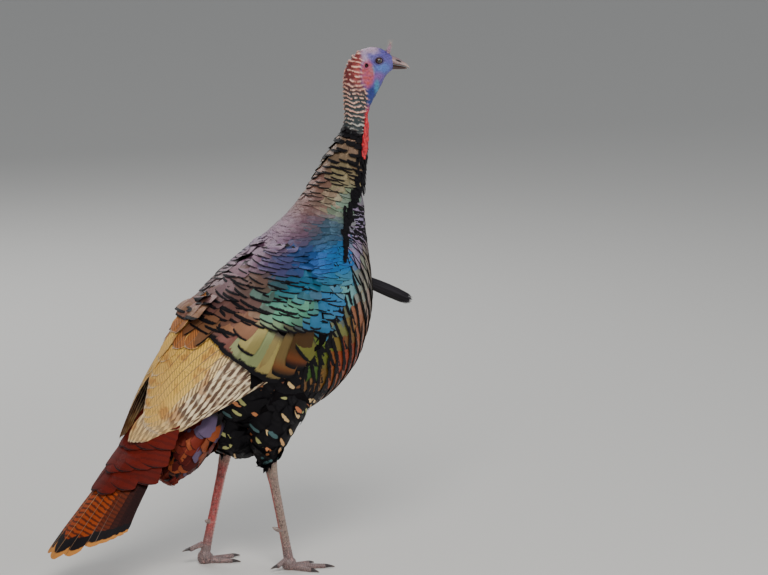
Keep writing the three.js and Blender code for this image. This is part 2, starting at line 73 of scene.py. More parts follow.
eye_low, eye_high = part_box("eye_right")
eye_x = (eye_low.x + eye_high.x) / 2
SHIFT = np.array([eye_x / MM - turned(EYE * [1, RIGHT, 1])[0], 0, 0])


def metres(points):
    return (np.asarray(points, float) + SHIFT) * MM


# ---- Camera, floor and light ----
# A long lens looks at the bird's right side, a little from behind and from above. The floor is pale and
# flat, under large soft lamps.
AZIMUTH, ELEVATION = math.radians(30), math.radians(10)
DISTANCE = 7500
PIXEL = 1.73  # millimetres of the bird to a pixel, at the camera's distance
IMAGE = (768, 575)
ORIGIN_AT = (247, 566)  # the pixel where the bird's own origin shows
SENSOR = 36.0

ahead = np.array([math.sin(AZIMUTH) * math.cos(ELEVATION), math.cos(AZIMUTH) * math.cos(ELEVATION),
                  -math.sin(ELEVATION)])
aside = np.array([math.cos(AZIMUTH), -math.sin(AZIMUTH), 0])
above = np.cross(aside, ahead)
off_axis = (ORIGIN_AT[0] - IMAGE[0] / 2) * PIXEL * aside + (IMAGE[1] / 2 - ORIGIN_AT[1]) * PIXEL * above
camera_data = bpy.data.cameras.new("camera")
camera_data.sensor_width = SENSOR
camera_data.lens = SENSOR * DISTANCE / PIXEL / IMAGE[0]
camera_data.clip_end = 60
camera = bpy.data.objects.new("camera", camera_data)
camera.matrix_world = Matrix(np.array([aside, above, -ahead]).T).to_4x4()
camera.location = metres(-DISTANCE * ahead - off_axis)
bpy.context.scene.collection.objects.link(camera)
bpy.context.scene.camera = camera


LAMP_TARGET = Vector((0, 0, 0.45))


def lamp(name, place, size, power, colour=(1, 1, 1)):
    data = bpy.data.lights.new(name, "AREA")
    data.size, data.energy, data.color = size, power, colour
    thing = bpy.data.objects.new(name, data)
    thing.location = place
    thing.rotation_euler = (LAMP_TARGET - Vector(place)).to_track_quat("-Z", "Y").to_euler()
    bpy.context.scene.collection.objects.link(thing)


lamp("key_lamp", (-1.4, -2.6, 3.2), 1.6, 105, (1, 0.97, 0.93))
lamp("fill_lamp", (2.6, -2.4, 1.6), 2.6, 32, (0.95, 0.97, 1))
lamp("back_lamp", (0.4, 3.0, 2.6), 2.2, 52)
world = bpy.data.worlds.new("studio")
world.use_nodes = True
world.node_tree.nodes["Background"].inputs["Color"].default_value = (0.85, 0.88, 0.92, 1)
world.node_tree.nodes["Background"].inputs["Strength"].default_value = 0.34
bpy.context.scene.world = world


def mesh_object(name, points, faces):
    """A mesh of points in the bird's own millimetres, as an object at the origin."""
    data = bpy.data.meshes.new(name)
    data.from_pydata(metres(points).tolist(), [], [list(map(int, face)) for face in faces])
    data.validate()
    thing = bpy.data.objects.new(name, data)
    bpy.context.scene.collection.objects.link(thing)
    return thing


FLOOR_HALF = 40000
floor_corners = [(-FLOOR_HALF, -FLOOR_HALF, 0), (FLOOR_HALF, -FLOOR_HALF, 0),
                 (FLOOR_HALF, FLOOR_HALF, 0), (-FLOOR_HALF, FLOOR_HALF, 0)]
floor = mesh_object("floor", floor_corners, [(0, 1, 2, 3)])
paper = bpy.data.materials.new("paper")
paper.use_nodes = True
paper.node_tree.nodes["Principled BSDF"].inputs["Base Color"].default_value = (0.74, 0.73, 0.7, 1)
paper.node_tree.nodes["Principled BSDF"].inputs["Roughness"].default_value = 0.85
floor.data.materials.append(paper)

# ---- The skin ----
# One skin covers the head, neck, trunk, thighs, shanks and feet. On the head and the bare neck it is the
# surface that shows, with lids, ear, folds and rows of warty ridges. Under the plumage it lies deeper, by
# the coat's depth, and on the legs it carries horny plates in front and small scales behind.
# Each station is a section of the straight bird: x and z of the back, x and z of the belly, half width.
STATIONS = np.array([
    (278, 875, 280, 852.5, 9), (269, 882, 273, 847, 13.5), (257, 888, 266, 839, 16.5),
    (243, 890, 260, 826, 18), (228, 886, 253, 813, 18.5), (212, 876, 246, 800, 18.5),
    (200, 857, 240, 787, 18.5), (195, 830, 236, 774, 18.5), (195, 803, 234, 760, 19),
    (197, 776, 234, 748, 19.5), (193, 750, 235, 735, 21.5), (172, 716, 235, 718, 27),
    (150, 682, 233, 697, 34), (129, 650, 229, 672, 42), (112, 628, 225, 637, 51),
    (98, 612, 223, 595, 64), (84, 598, 225, 548, 80), (67, 584, 228, 500, 97),
    (46, 566, 228, 450, 111), (20, 546, 217, 398, 119), (-8, 522, 194, 343, 123),
    (-38, 495, 152, 298, 121), (-66, 463, 96, 267, 113), (-86, 430, 38, 247, 99),
    (-100, 402, -16, 244, 80), (-110, 380, -58, 262, 58), (-116, 362, -88, 290, 37),
])
FEATHERED, TAIL_ROOT = 10, 26  # the stations where the plumage begins and where the tail does
FULLNESS = 0.92  # below 1, a section is a little squarer than an oval


def through(rows, t):
    """Rows of values that run smoothly from each to the next, at the places t."""
    rows = np.asarray(rows, float)
    t = np.asarray(t, float)
    first = np.clip(np.floor(t).astype(int), 0, len(rows) - 2)
    share = (t - first)[..., None]
    p0, p1, p2, p3 = (rows[np.clip(first + k, 0, len(rows) - 1)] for k in (-1, 0, 1, 2))
    slope1, slope2 = (p2 - p0) / 2, (p3 - p1) / 2
    a = 2 * p1 - 2 * p2 + slope1 + slope2
    b = 3 * p2 - 3 * p1 - 2 * slope1 - slope2
    return ((a * share + b) * share + slope1) * share + p1


def straight_body(t, angle, grow=0.0):
    """A point on the body at station t, with the angle measured from the back over the left side."""
    back_x, back_z, belly_x, belly_z, half = np.moveaxis(through(STATIONS, t), -1, 0)
    up_x, up_z = back_x - belly_x, back_z - belly_z
    height = np.hypot(up_x, up_z)
    squared = lambda value: np.sign(value) * np.abs(value) ** FULLNESS
    rise = (height / 2 + grow) * squared(np.cos(angle)) / height
    x = (back_x + belly_x) / 2 + up_x * rise
    z = (back_z + belly_z) / 2 + up_z * rise
    return np.stack([x, (half + grow) * squared(np.sin(angle)), z], -1)


def all_round(count):
    """Angles at even steps, once round."""
    return np.linspace(0, 2 * math.pi, count, endpoint=False)


def grid_normals(grid):
    """Outward normals of a grid of points whose second axis goes round."""
    along = np.gradient(grid, axis=0)
    padded = np.concatenate([grid[:, -1:], grid, grid[:, :1]], 1)
    normal = np.cross(padded[:, 2:] - padded[:, :-2], along)
    return normal / np.maximum(np.linalg.norm(normal, axis=-1, keepdims=True), 1e-9)


def tube_faces(rings, sides):
    """Quads of a tube of rings, with a face over each end."""
    ring, side = np.meshgrid(np.arange(rings - 1), np.arange(sides), indexing="ij")
    a, b = ring * sides + side, ring * sides + (side + 1) % sides
    quads = np.stack([a, b, b + sides, a + sides], -1).reshape(-1, 4).tolist()
    return quads + [list(range(sides))[::-1], list(range((rings - 1) * sides, rings * sides))]


def ridges(points, spread, sharp, seed):
    """1 along the winding lines of a noise, falling to 0 beside them."""
    places = points / np.asarray(spread, float) + seed
    value = np.array([noise.noise(Vector(place)) for place in places.reshape(-1, 3)])
    return np.clip(1 - np.abs(value).reshape(points.shape[:-1]) / sharp, 0, 1)


def mottle(points, size, seed):
    """A soft noise of about -1 to 1."""
    places = points.reshape(-1, 3) / size + seed
    return np.array([noise.noise(Vector(place)) for place in places]).reshape(points.shape[:-1])


def near(points, centre, reach, soft=0.5):
    """1 at a place of the head's side view, falling to 0 at its reach, both as x and z."""
    away = np.hypot((points[..., 0] - centre[0]) / reach[0], (points[..., 2] - centre[1]) / reach[1])
    return 1 - smooth(1 - soft, 1, away)


HEAD_RINGS, BODY_RINGS, SKIN_SIDES = 150, 44, 144
head_t = np.linspace(0, FEATHERED + 0.6, HEAD_RINGS)
body_t = np.linspace(FEATHERED + 0.6, TAIL_ROOT - 0.1, BODY_RINGS)[1:]
skin_t, skin_angle = np.meshgrid(np.concatenate([head_t, body_t]), all_round(SKIN_SIDES), indexing="ij")
COAT_DEPTH = 9
skin = straight_body(skin_t, skin_angle, -COAT_DEPTH * smooth(FEATHERED - 0.4, FEATHERED + 3, skin_t))
skin_out = grid_normals(skin)
skin_x, skin_z = skin[..., 0], skin[..., 2]

# What rises from the skin and sinks into it, in millimetres, each with its own mask for the colours.
EYE_OPENING = (6.3, 5.3)
FOLD_SPACING = 7.6
EAR_AT, EAR_OPENING = (234, 860.4), (3.0, 3.6)
eye_away = np.hypot((skin_x - EYE[0]) / EYE_OPENING[0], (skin_z - EYE[2]) / EYE_OPENING[1])
ear_away = np.hypot((skin_x - EAR_AT[0]) / EAR_OPENING[0], (skin_z - EAR_AT[1]) / EAR_OPENING[1])
on_side = smooth(4, 9, np.abs(skin[..., 1]))
bell = lambda away, middle, width: np.exp(-(((away - middle) / width) ** 2))
lids = 1.5 * bell(eye_away, 1.18, 0.2) - 0.5 * bell(eye_away, 1.55, 0.12) + 0.6 * bell(eye_away, 1.85, 0.2)
lids += -0.4 * bell(eye_away, 2.2, 0.14) - 7 * (1 - smooth(0.82, 1.02, eye_away))
ear = 1.3 * bell(ear_away, 1.4, 0.4) - 5 * (1 - smooth(0.6, 1.05, ear_away))
around = np.stack([skin_angle * 20, skin_t * 14, skin_z * 0.1], -1)
from_back = np.abs((skin_angle + math.pi) % (2 * math.pi) - math.pi)
behind_line = 226 + 10 * smooth(835, 812, skin_z) - 3 * smooth(800, 760, skin_z)
warty = smooth(5, -5, skin_x - behind_line - 2.5 * mottle(skin, 6.0, 11.0)) * smooth(3.2, 4.3, skin_t)
warty *= 1 - smooth(FEATHERED - 0.2, FEATHERED + 0.5, skin_t)
wave = skin_z / FOLD_SPACING + 0.62 * mottle(around, 15.0, 4.0) + 0.30 * mottle(around, 7.0, 14.0)
wave += 0.02 * (skin_x - 205)
broken = smooth(-0.42, -0.12, mottle(around * [0.7, 1.6, 1], 9.0, 24.0))
fold_lines = smooth(0.12, 0.95, np.cos(2 * math.pi * wave)) * (0.15 + 0.85 * broken)
side_folds = 0.75 * ridges(around, (9, 11, 1), 0.12, 9.0) * smooth(218, 230, skin_x)
fold_lines = np.maximum(fold_lines, side_folds)
red_cheek = near(skin, (236, 846), (14, 30), 0.45) * smooth(3.0, 3.8, skin_t)
front_strip = smooth(2.25, 2.7, from_back) * smooth(795, 775, skin_z) * smooth(722, 732, skin_z)
bare = 1 - smooth(FEATHERED - 0.3, FEATHERED + 0.3, skin_t)
rise = on_side * (lids + ear)
rise += 2.3 * warty * (fold_lines - 0.15)
rise += (0.8 * red_cheek * (1 - warty) + 1.3 * front_strip) * ridges(skin, (7, 7, 3.6), 0.3, 2.0)
fine = ridges(skin, (3.4, 3.4, 2.4), 0.35, 7.0)
rise += 0.35 * bare * fine * smooth(1.0, 1.5, eye_away)
rise += 0.5 * bare * (1 - warty) * mottle(skin, 7.0, 21.0)
brow = bell(np.hypot((skin_x - 255) / 14, (skin_z - 878.5) / 3.2), 0, 0.8)
rise += 0.9 * brow * on_side
skin_body = turned(skin + skin_out * rise[..., None])

# Colours of the bare skin, painted zone over zone.
VIOLET, LILAC = (0.105, 0.085, 0.36), (0.50, 0.36, 0.50)
TURQUOISE, DEEP_BLUE = (0.04, 0.36, 0.50), (0.012, 0.035, 0.23)
SKY, ROSE = (0.10, 0.20, 0.55), (0.56, 0.085, 0.075)
CRIMSON, DARK_RED = (0.58, 0.015, 0.025), (0.13, 0.014, 0.014)
CREAM, GREY_GREEN = (0.80, 0.50, 0.38), (0.018, 0.030, 0.032)
UNDER_COAT_SHADE, LID, EAR_PIT_SHADE = (0.006, 0.005, 0.006), (0.05, 0.03, 0.09), (0.02, 0.005, 0.008)
JAW_PURPLE, NECK_FOOT_GREY = (0.30, 0.11, 0.33), (0.30, 0.42, 0.40)


def over(base, colour, amount):
    """A colour laid over others, by an amount from 0 to 1."""
    amount = np.clip(amount, 0, 1)[..., None]
    return base * (1 - amount) + np.asarray(colour, float) * amount


shade = np.broadcast_to(np.array(VIOLET), skin.shape).copy()
shade = over(shade, SKY, near(skin, (262, 856), (20, 15), 0.8) * 0.9)
crown = smooth(877, 886, skin_z + 2 * mottle(skin, 5, 3)) * smooth(262, 246, skin_x)
shade = over(shade, LILAC, crown)
shade = over(shade, LILAC, 0.75 * near(skin, (226, 874), (15, 14), 0.7))
shade = over(shade, JAW_PURPLE, 0.6 * near(skin, (254, 842), (15, 12), 0.8))
shade = over(shade, TURQUOISE, near(skin, (243, 852), (7, 12), 0.7) * 0.8)
shade = over(shade, DEEP_BLUE, near(skin, (241, 806), (17, 26), 0.5))
shade = over(shade, TURQUOISE, near(skin, (252, 823), (7, 20), 0.7) * (0.55 + 0.45 * mottle(skin, 4, 31)))
shade = over(shade, ROSE, red_cheek * (0.8 + 0.3 * mottle(skin, 4.5, 17)))
valley = over(np.broadcast_to(np.array(DARK_RED), skin.shape).copy(), GREY_GREEN, smooth(845, 800, skin_z))
valley = over(valley, ROSE, 0.7 * near(skin, (222, 850), (16, 40), 0.8) * (0.5 + 0.6 * mottle(skin, 6, 41)))
ridge = over(np.broadcast_to(np.array(CREAM), skin.shape).copy(), ROSE, 0.35 * (0.5 + mottle(skin, 7, 51)))
ridge = over(ridge, NECK_FOOT_GREY, smooth(785, 752, skin_z) * 0.75)
worm = valley + (ridge - valley) * smooth(0.35, 0.85, fold_lines)[..., None]
shade = shade + (worm - shade) * warty[..., None]
shade = over(shade, CRIMSON, front_strip)
# Bare skin between the fine ridges is a third darker: painted shade in the grooves.
shade = shade * (1 - 0.35 * (bare * (1 - fine) * (1 - warty)))[..., None]
shade = over(shade, LID, on_side * (1 - smooth(1.15, 1.75, eye_away)) * 0.8)
# The ear opening is painted near-black: painted shade in the sunken pit.
shade = over(shade, EAR_PIT_SHADE, on_side * (1 - smooth(0.9, 1.2, ear_away)))
# Under the plumage the skin is near-black: partly the dark down there, partly painted shade for the gaps of
# the coat.
shade = over(shade, UNDER_COAT_SHADE, smooth(FEATHERED - 0.6, FEATHERED, skin_t + 0.3 * mottle(skin, 5, 61)))


def vectors_of(data, kind):
    """The places or the normals of a mesh's points: "co" or "normal"."""
    values = np.empty(len(data.vertices) * 3)
    data.vertices.foreach_get(kind, values)
    return values.reshape(-1, 3)


def points_of(data):
    return vectors_of(data, "co") / MM - SHIFT


def cad_shape(names, grow=0.0):
    """Points and faces of CAD nodes together, in the bird's own millimetres, grown outwards."""
    points, faces = [], []
    for name in names:
        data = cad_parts[name].data
        merged, number = np.unique(np.round(points_of(data), 3), axis=0, return_inverse=True)
        triangles = [[int(number.reshape(-1)[v]) for v in face.vertices] for face in data.polygons]
        triangles = [t for t in triangles if len(set(t)) == 3]
        flat = np.array(triangles)
        out = np.cross(merged[flat[:, 1]] - merged[flat[:, 0]], merged[flat[:, 2]] - merged[flat[:, 0]])
        normal = np.zeros_like(merged)
        for corner in range(3):
            np.add.at(normal, flat[:, corner], out)
        normal /= np.maximum(np.linalg.norm(normal, axis=1, keepdims=True), 1e-9)
        faces += (flat + sum(len(p) for p in points)).tolist()
        points.append(merged + normal * grow)
    return np.concatenate(points), faces


def evaluated(thing):
    """The object's mesh with its modifiers applied, as a plain mesh, with the modifiers gone."""
    bpy.context.view_layer.update()
    made = bpy.data.meshes.new_from_object(thing.evaluated_get(bpy.context.evaluated_depsgraph_get()))
    thing.modifiers.clear()
    thing.data = made
    return made


def set_points(data, points):
    data.vertices.foreach_set("co", metres(points).astype(np.float32).ravel())
    data.update()


def set_colours(data, name, colours):
    layer = data.attributes.new(name, "FLOAT_COLOR", "POINT")
    full = np.ones((len(colours), 4), np.float32)
    full[:, :3] = np.clip(colours, 0, 1)
    layer.data.foreach_set("color", full.ravel())


def remeshed(name, nodes, voxel, grow, rounds):
    """CAD nodes run together into one smooth closed shape."""
    thing = mesh_object(name, *cad_shape(nodes, grow))
    remesh = thing.modifiers.new("remesh", "REMESH")
    remesh.mode, remesh.voxel_size = "VOXEL", voxel * MM
    soften = thing.modifiers.new("soften", "SMOOTH")
    soften.factor, soften.iterations = 0.5, rounds
    evaluated(thing)
    return thing


# The legs: where the joints are, and how the toes lie, as sizes of the bird's own.
LEGS = {
    "right": dict(side=RIGHT, hock=(16, -57, 188), foot=(52, -57, 14), turn=-20, hind_turn=12,
                  hind_rise=(17, 6)),
    "left": dict(side=LEFT, hock=(-10, 57, 191), foot=(-53, 56, 15), turn=12, hind_turn=-4,
                 hind_rise=(32, 24)),
}
TOES = {
    "middle": dict(spread=0, length=63, root=6.2, tip=4.0, claw=17),
    "inner": dict(spread=-37, length=44, root=5.8, tip=3.8, claw=15),
    "outer": dict(spread=38, length=48, root=5.8, tip=3.8, claw=15),
    "hind": dict(spread=0, length=28, root=5.0, tip=4.0, claw=14),
}
PLATE, SCALE, TOE_PLATE = 6.2, 2.7, 3.3  # spacing of the horny plates and of the small scales


def toe_line(leg, name, toe):
    """Start and direction of a toe's middle line."""
    hind = name == "hind"
    degrees = 180 + leg["hind_turn"] if hind else leg["turn"] - leg["side"] * toe["spread"]
    turn = math.radians(degrees)
    low, high = leg["hind_rise"] if hind else (0, 0)
    start = np.array([leg["foot"][0], leg["foot"][1], toe["root"] * 0.82 + low])
    step = np.array([math.cos(turn), math.sin(turn), (high - low) / toe["length"]])
    return start, step


SHANK_RED, SHANK_PALE, SHANK_HORNY = (0.42, 0.075, 0.07), (0.52, 0.30, 0.27), (0.25, 0.185, 0.15)
TOE_GREY, HOCK_TAN, SCALE_GAP = (0.20, 0.145, 0.14), (0.30, 0.23, 0.17), (0.045, 0.02, 0.02)
SHANK_BASE = {"left": SHANK_RED, "right": SHANK_HORNY}
SHANK_PALENESS = {"left": 0.75, "right": 0.3}


def leg_colours(name, leg, points, angle, height, on_toe, line):
    """Red along the edges of a shank, pale on its inner front, grey on the toes, dark between scales."""
    side = leg["side"]
    tone = np.tile(SHANK_BASE[name], (len(points), 1))
    pale_front = 1 - smooth(0.4, 1.1, np.abs(angle + 0.5 * side))
    tone = over(tone, SHANK_PALE, SHANK_PALENESS[name] * pale_front)
    edge_line = bell(angle, -side * 1.9, 0.3) + bell(angle, side * 2.9, 0.35) + bell(angle, -side * 0.4, 0.22)
    tone = over(tone, SHANK_RED, 0.8 * edge_line)
    tone = over(tone, TOE_GREY, smooth(60, 15, height) * 0.8 + on_toe)
    tone = over(tone, HOCK_TAN, smooth(150, 172, height) * 0.7)
    tone = over(tone, SHANK_PALE, 0.45 * smooth(0.1, 0.6, mottle(points, 5.0, 71)))
    return over(tone, SCALE_GAP, 0.8 * line)


def leg_skin(name, leg):
    """The bare shank, foot and toes as one closed shape with plates and scales, and its colours."""
    nodes = [f"shank_{name}", f"foot_{name}"] + [f"toe_{toe}_{name}" for toe in TOES]
    thing = remeshed("leg_" + name, nodes, 0.95, 0.35, 4)
    points = points_of(thing.data)
    out = vectors_of(thing.data, "normal")
    hock, foot = np.array(leg["hock"], float), np.array(leg["foot"], float)
    up = (hock - foot) / np.linalg.norm(hock - foot)
    turn = math.radians(leg["turn"] * 0.5)
    front = np.array([math.cos(turn), math.sin(turn), 0])
    front -= up * (front @ up)
    aside_leg = np.cross(up, front)
    away = points - foot
    height = away @ up
    angle = np.arctan2(away @ aside_leg, away @ front)
    row = height / PLATE + 0.5 * (angle > 0)
    plate = 0.75 * (1 - row % 1) - 0.5 * bell(np.abs(angle), 0, 0.07)
    cells = [noise.voronoi(Vector(p / SCALE))[0] for p in points * np.array([1, 1, 0.8])]
    cell = np.array([far - close for close, far, *_ in cells])
    scale = 0.5 * smooth(0.02, 0.35, cell)
    on_front = 1 - smooth(1.0, 1.25, np.abs(angle))
    rise = plate * on_front + scale * (1 - on_front)
    line = (row % 1 < 0.14) * on_front + (cell < 0.1) * (1 - on_front)
    on_toe = smooth(20, 12, height)
    best = np.full(len(points), 1e9)
    toe_rise, toe_line_mask = np.zeros(len(points)), np.zeros(len(points))
    for toe_name, toe in TOES.items():
        start, step = toe_line(leg, toe_name, toe)
        reach = (points - start) @ step / (step @ step)
        gap = np.linalg.norm(points - start - np.clip(reach, 0, toe["length"])[:, None] * step, axis=1)
        row = reach / TOE_PLATE
        closer = gap < best
        top = smooth(-0.1, 0.3, out[:, 2])
        under = 0.35 * smooth(0.02, 0.35, cell) * (1 - top)
        pads = 0.7 * np.abs(np.sin(math.pi * reach / 17)) * smooth(0.2, -0.5, out[:, 2])
        toe_rise = np.where(closer, 0.6 * (1 - row % 1) * top + under + pads, toe_rise)
        toe_line_mask = np.where(closer, (row % 1 < 0.18) * top + (cell < 0.1) * (1 - top), toe_line_mask)
        best = np.minimum(best, gap)
    rise = rise * (1 - on_toe) + toe_rise * on_toe
    line = line * (1 - on_toe) + toe_line_mask * on_toe
    points = points + out * (rise - 0.45)[:, None]
    points[:, 2] = np.maximum(points[:, 2], 0)
    set_points(thing.data, points)
    return thing, leg_colours(name, leg, points, angle, height, on_toe, line)


def joined(name, things):
    """Several objects as one, under a new name."""
    for thing in bpy.context.selected_objects:
        thing.select_set(False)
    for thing in things:
        thing.select_set(True)
    bpy.context.view_layer.objects.active = things[0]
    bpy.ops.object.join()
    things[0].name = things[0].data.name = name
    return things[0]


FLESH = ["head", "neck_bare", "neck_upper", "neck_lower", "breast", "trunk", "rump", "belly"]
body_skin = mesh_object("skin", skin_body.reshape(-1, 3), tube_faces(len(skin_t), SKIN_SIDES))
set_colours(body_skin.data, "shade", shade.reshape(-1, 3))
skin_shells = [body_skin]
# The haunch and the arms of the wings are near-black under the coat: dark down with painted shade.
haunch = remeshed("haunch", ["belly", "thigh_left", "thigh_right"], 5.0, -7.0, 3)
set_colours(haunch.data, "shade", np.tile(UNDER_COAT_SHADE, (len(haunch.data.vertices), 1)))
skin_shells.append(haunch)
for side in LEGS:
    wing_arm = remeshed("wing_arm_" + side, [f"wing_{side}_coverts"], 4.0, -4.5, 3)
    set_colours(wing_arm.data, "shade", np.tile(UNDER_COAT_SHADE, (len(wing_arm.data.vertices), 1)))
    bare_leg, tone = leg_skin(side, LEGS[side])
    set_colours(bare_leg.data, "shade", tone)
    skin_shells += [wing_arm, bare_leg]
skin_piece = joined("skin", skin_shells)
skin_piece.data.shade_smooth()


def new_node(tree, kind, inputs=(), **settings):
    """A node of a tree, with its settings, and its inputs linked or given values."""
    node = tree.nodes.new(kind)
    for key, value in settings.items():
        setattr(node, key, value)
    for socket, value in dict(inputs).items():
        if isinstance(value, bpy.types.NodeSocket):
            tree.links.new(value, node.inputs[socket])
        else:
            node.inputs[socket].default_value = value
    return node


class Finish:
    """A Principled material, with short ways to add its texture nodes."""

    def __init__(self, name, roughness=0.5, **fixed):
        self.material = bpy.data.materials.new(name)
        self.material.use_nodes = True
        self.tree = self.material.node_tree
        self.skin = self.tree.nodes["Principled BSDF"]
        self.skin.inputs["Roughness"].default_value = roughness
        for socket, value in fixed.items():
            self.skin.inputs[socket.replace("_", " ")].default_value = value

    def add(self, kind, inputs=(), **settings):
        return new_node(self.tree, kind, inputs, **settings)

    def attribute(self, name):
        return self.add("ShaderNodeAttribute", attribute_name=name)

    def maths(self, operation, *values):
        return self.add("ShaderNodeMath", dict(enumerate(values)), operation=operation).outputs[0]

    def plus(self, first, second):
        return self.maths("ADD", first, second)

    def less(self, first, second):
        return self.maths("SUBTRACT", first, second)

    def times(self, first, second):
        return self.maths("MULTIPLY", first, second)

    def swing(self, value, reach):
        """A value of 0 to 1, turned to run from -reach / 2 to reach / 2."""
        return self.times(self.less(value, 0.5), reach)

    def bent(self, along, across, bend):
        """Places along a vane, with the lines across it bent towards its edges."""
        return self.plus(along, self.times(self.maths("POWER", across, 2.0), bend))

    def parts(self, vector):
        return self.add("ShaderNodeSeparateXYZ", {0: vector}).outputs

    def vane(self):
        """A vane's own map, a place on it, its distance from the shaft, and the vane's look and tint."""
        own_map = self.add("ShaderNodeUVMap", uv_map="vane").outputs[0]
        place = self.parts(own_map)
        across = self.maths("ABSOLUTE", self.less(place["X"], 0.5))
        look = self.parts(self.attribute("look").outputs["Vector"])
        return own_map, place, across, look, self.attribute("tint").outputs["Color"]

    def barbs(self, place, across, run, slope):
        """Fine ridges that slant out from the shaft."""
        return self.maths("SINE", self.plus(self.times(place["Y"], run), self.times(across, slope)))

    def step(self, value, low, high):
        node = self.add("ShaderNodeMapRange", {"Value": value, "From Min": low, "From Max": high},
                        interpolation_type="SMOOTHSTEP")
        return node.outputs["Result"]

    def grain(self, size, detail=2.0, vector=None, stretch=(1, 1, 1)):
        """Noise with a cell of about `size` metres on Object coordinates, or on another vector."""
        source = vector or self.add("ShaderNodeTexCoord").outputs["Object"]
        mapped = self.add("ShaderNodeMapping", {"Vector": source, "Scale": stretch})
        inputs = {"Vector": mapped.outputs[0], "Scale": 1 / size, "Detail": detail}
        return self.add("ShaderNodeTexNoise", inputs).outputs[0]

    def mix(self, share, first, second, blend="MIX"):
        inputs = {0: share, 6: first, 7: second}
        return self.add("ShaderNodeMix", inputs, data_type="RGBA", blend_type=blend).outputs[2]

    def filtered(self, first, second):
        """Two colours multiplied."""
        return self.mix(1.0, first, second, "MULTIPLY")

    def colour(self, value):
        self.tree.links.new(value, self.skin.inputs["Base Color"])

    def bump(self, height, distance, strength=1.0):
        node = self.add("ShaderNodeBump", {"Height": height, "Distance": distance, "Strength": strength})
        self.tree.links.new(node.outputs[0], self.skin.inputs["Normal"])

    def rough(self, value, low, high):
        node = self.add("ShaderNodeMapRange", {"Value": value, "To Min": low, "To Max": high})
        self.tree.links.new(node.outputs["Result"], self.skin.inputs["Roughness"])


flesh = Finish("bare_skin", 0.48, Subsurface_Weight=0.08, Subsurface_Scale=0.004, Coat_Weight=0.12,
               Coat_Roughness=0.35)
pores = flesh.grain(0.0011, 3.0)
painted = flesh.attribute("shade").outputs["Color"]
between_pores = flesh.filtered(painted, (1.5, 1.42, 1.42, 1))
flesh.colour(flesh.mix(flesh.step(pores, 0.35, 0.7), painted, between_pores))
flesh.bump(pores, 0.0004, 0.6)
flesh.rough(flesh.grain(0.004), 0.38, 0.6)
# A dull near-black finish for the faces under the coat: dark down with painted shade.
down = Finish("black_down_and_painted_shade", 0.95, Specular_IOR_Level=0.05)
down.colour(down.attribute("shade").outputs["Color"])
skin_piece.data.materials.append(flesh.material)
skin_piece.data.materials.append(down.material)
shades = np.empty(len(skin_piece.data.vertices) * 4)
skin_piece.data.attributes["shade"].data.foreach_get("color", shades)
shaded_under_coat = np.all(np.abs(shades.reshape(-1, 4)[:, :3] - UNDER_COAT_SHADE) < 0.001, axis=1)
for face in skin_piece.data.polygons:
    face.material_index = int(all(shaded_under_coat[vertex] for vertex in face.vertices))
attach(skin_piece, "root")
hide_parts(*FLESH)
for side in LEGS:
    toes = [f"toe_{toe}_{side}" for toe in TOES]
    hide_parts(f"thigh_{side}", f"shank_{side}", f"foot_{side}", *toes)

# ---- The coat: how a feather is made and laid ----
# Every contour feather is a thin closed vane, thickest along its shaft, that starts under the feathers
# before it and lies along the body. One Geometry Nodes tree bends a flat vane along four points of the
# bird's surface, turns its width from one side line to the other and bows it over the form beneath.
VANE_ROWS, VANE_COLUMNS = 6, 5
PATCH = 0.003  # of the unwrap, for a small feather's baked colours
DEPTH_OF_COLOUR = 1.6


def vane_template(name, outline, rows=VANE_ROWS, columns=VANE_COLUMNS, frayed=0.0, rounding=0.08):
    """A flat closed vane. Its cell is: across -1 to 1, along 0 to 1, and -1 or 1 below and above."""
    across = np.linspace(-1, 1, columns)
    along = np.linspace(0, 1, rows) ** 0.85
    draw = np.random.default_rng(7)
    cells, place = [], {}
    for r, share in enumerate(along):
        half = np.interp(share, *np.array(outline).T)
        for c, x in enumerate(across):
            rim = r in (0, rows - 1) or c in (0, columns - 1)
            back = rounding * abs(x) ** 2.5 * share ** 6 + frayed * draw.random() * (r == rows - 1)
            jag = 1 + frayed * 1.5 * draw.normal() * (c in (0, columns - 1))
            for face in (0,) if rim else (1, -1):
                place[r, c, face] = len(cells)
                cells.append((x * half * jag, share - back, face * (1 - 0.6 * abs(x)) * (1 - 0.7 * share)))
    faces, uvs = [], []
    for side in (1, -1):
        at = lambda r, c: place.get((r, c, side), place.get((r, c, 0)))
        for r in range(rows - 1):
            for c in range(columns - 1):
                face = [(r, c), (r, c + 1), (r + 1, c + 1), (r + 1, c)][::side]
                faces.append([at(*corner) for corner in face])
                uvs += [((across[c] + 1) / 2, along[r]) for r, c in face]
    cells = np.array(cells)
    thing = mesh_object(name, cells, faces)
    layer = thing.data.attributes.new("cell", "FLOAT_VECTOR", "POINT")
    layer.data.foreach_set("vector", cells.astype(np.float32).ravel())
    vane = thing.data.uv_layers.new(name="vane")
    vane.data.foreach_set("uv", np.array(uvs, np.float32).ravel())
    thing.data.shade_smooth()
    rim = {vertex for (r, c, face), vertex in place.items() if face == 0}
    for edge in thing.data.edges:
        edge.use_edge_sharp = set(edge.vertices) <= rim
    thing.hide_render = True
    return thing


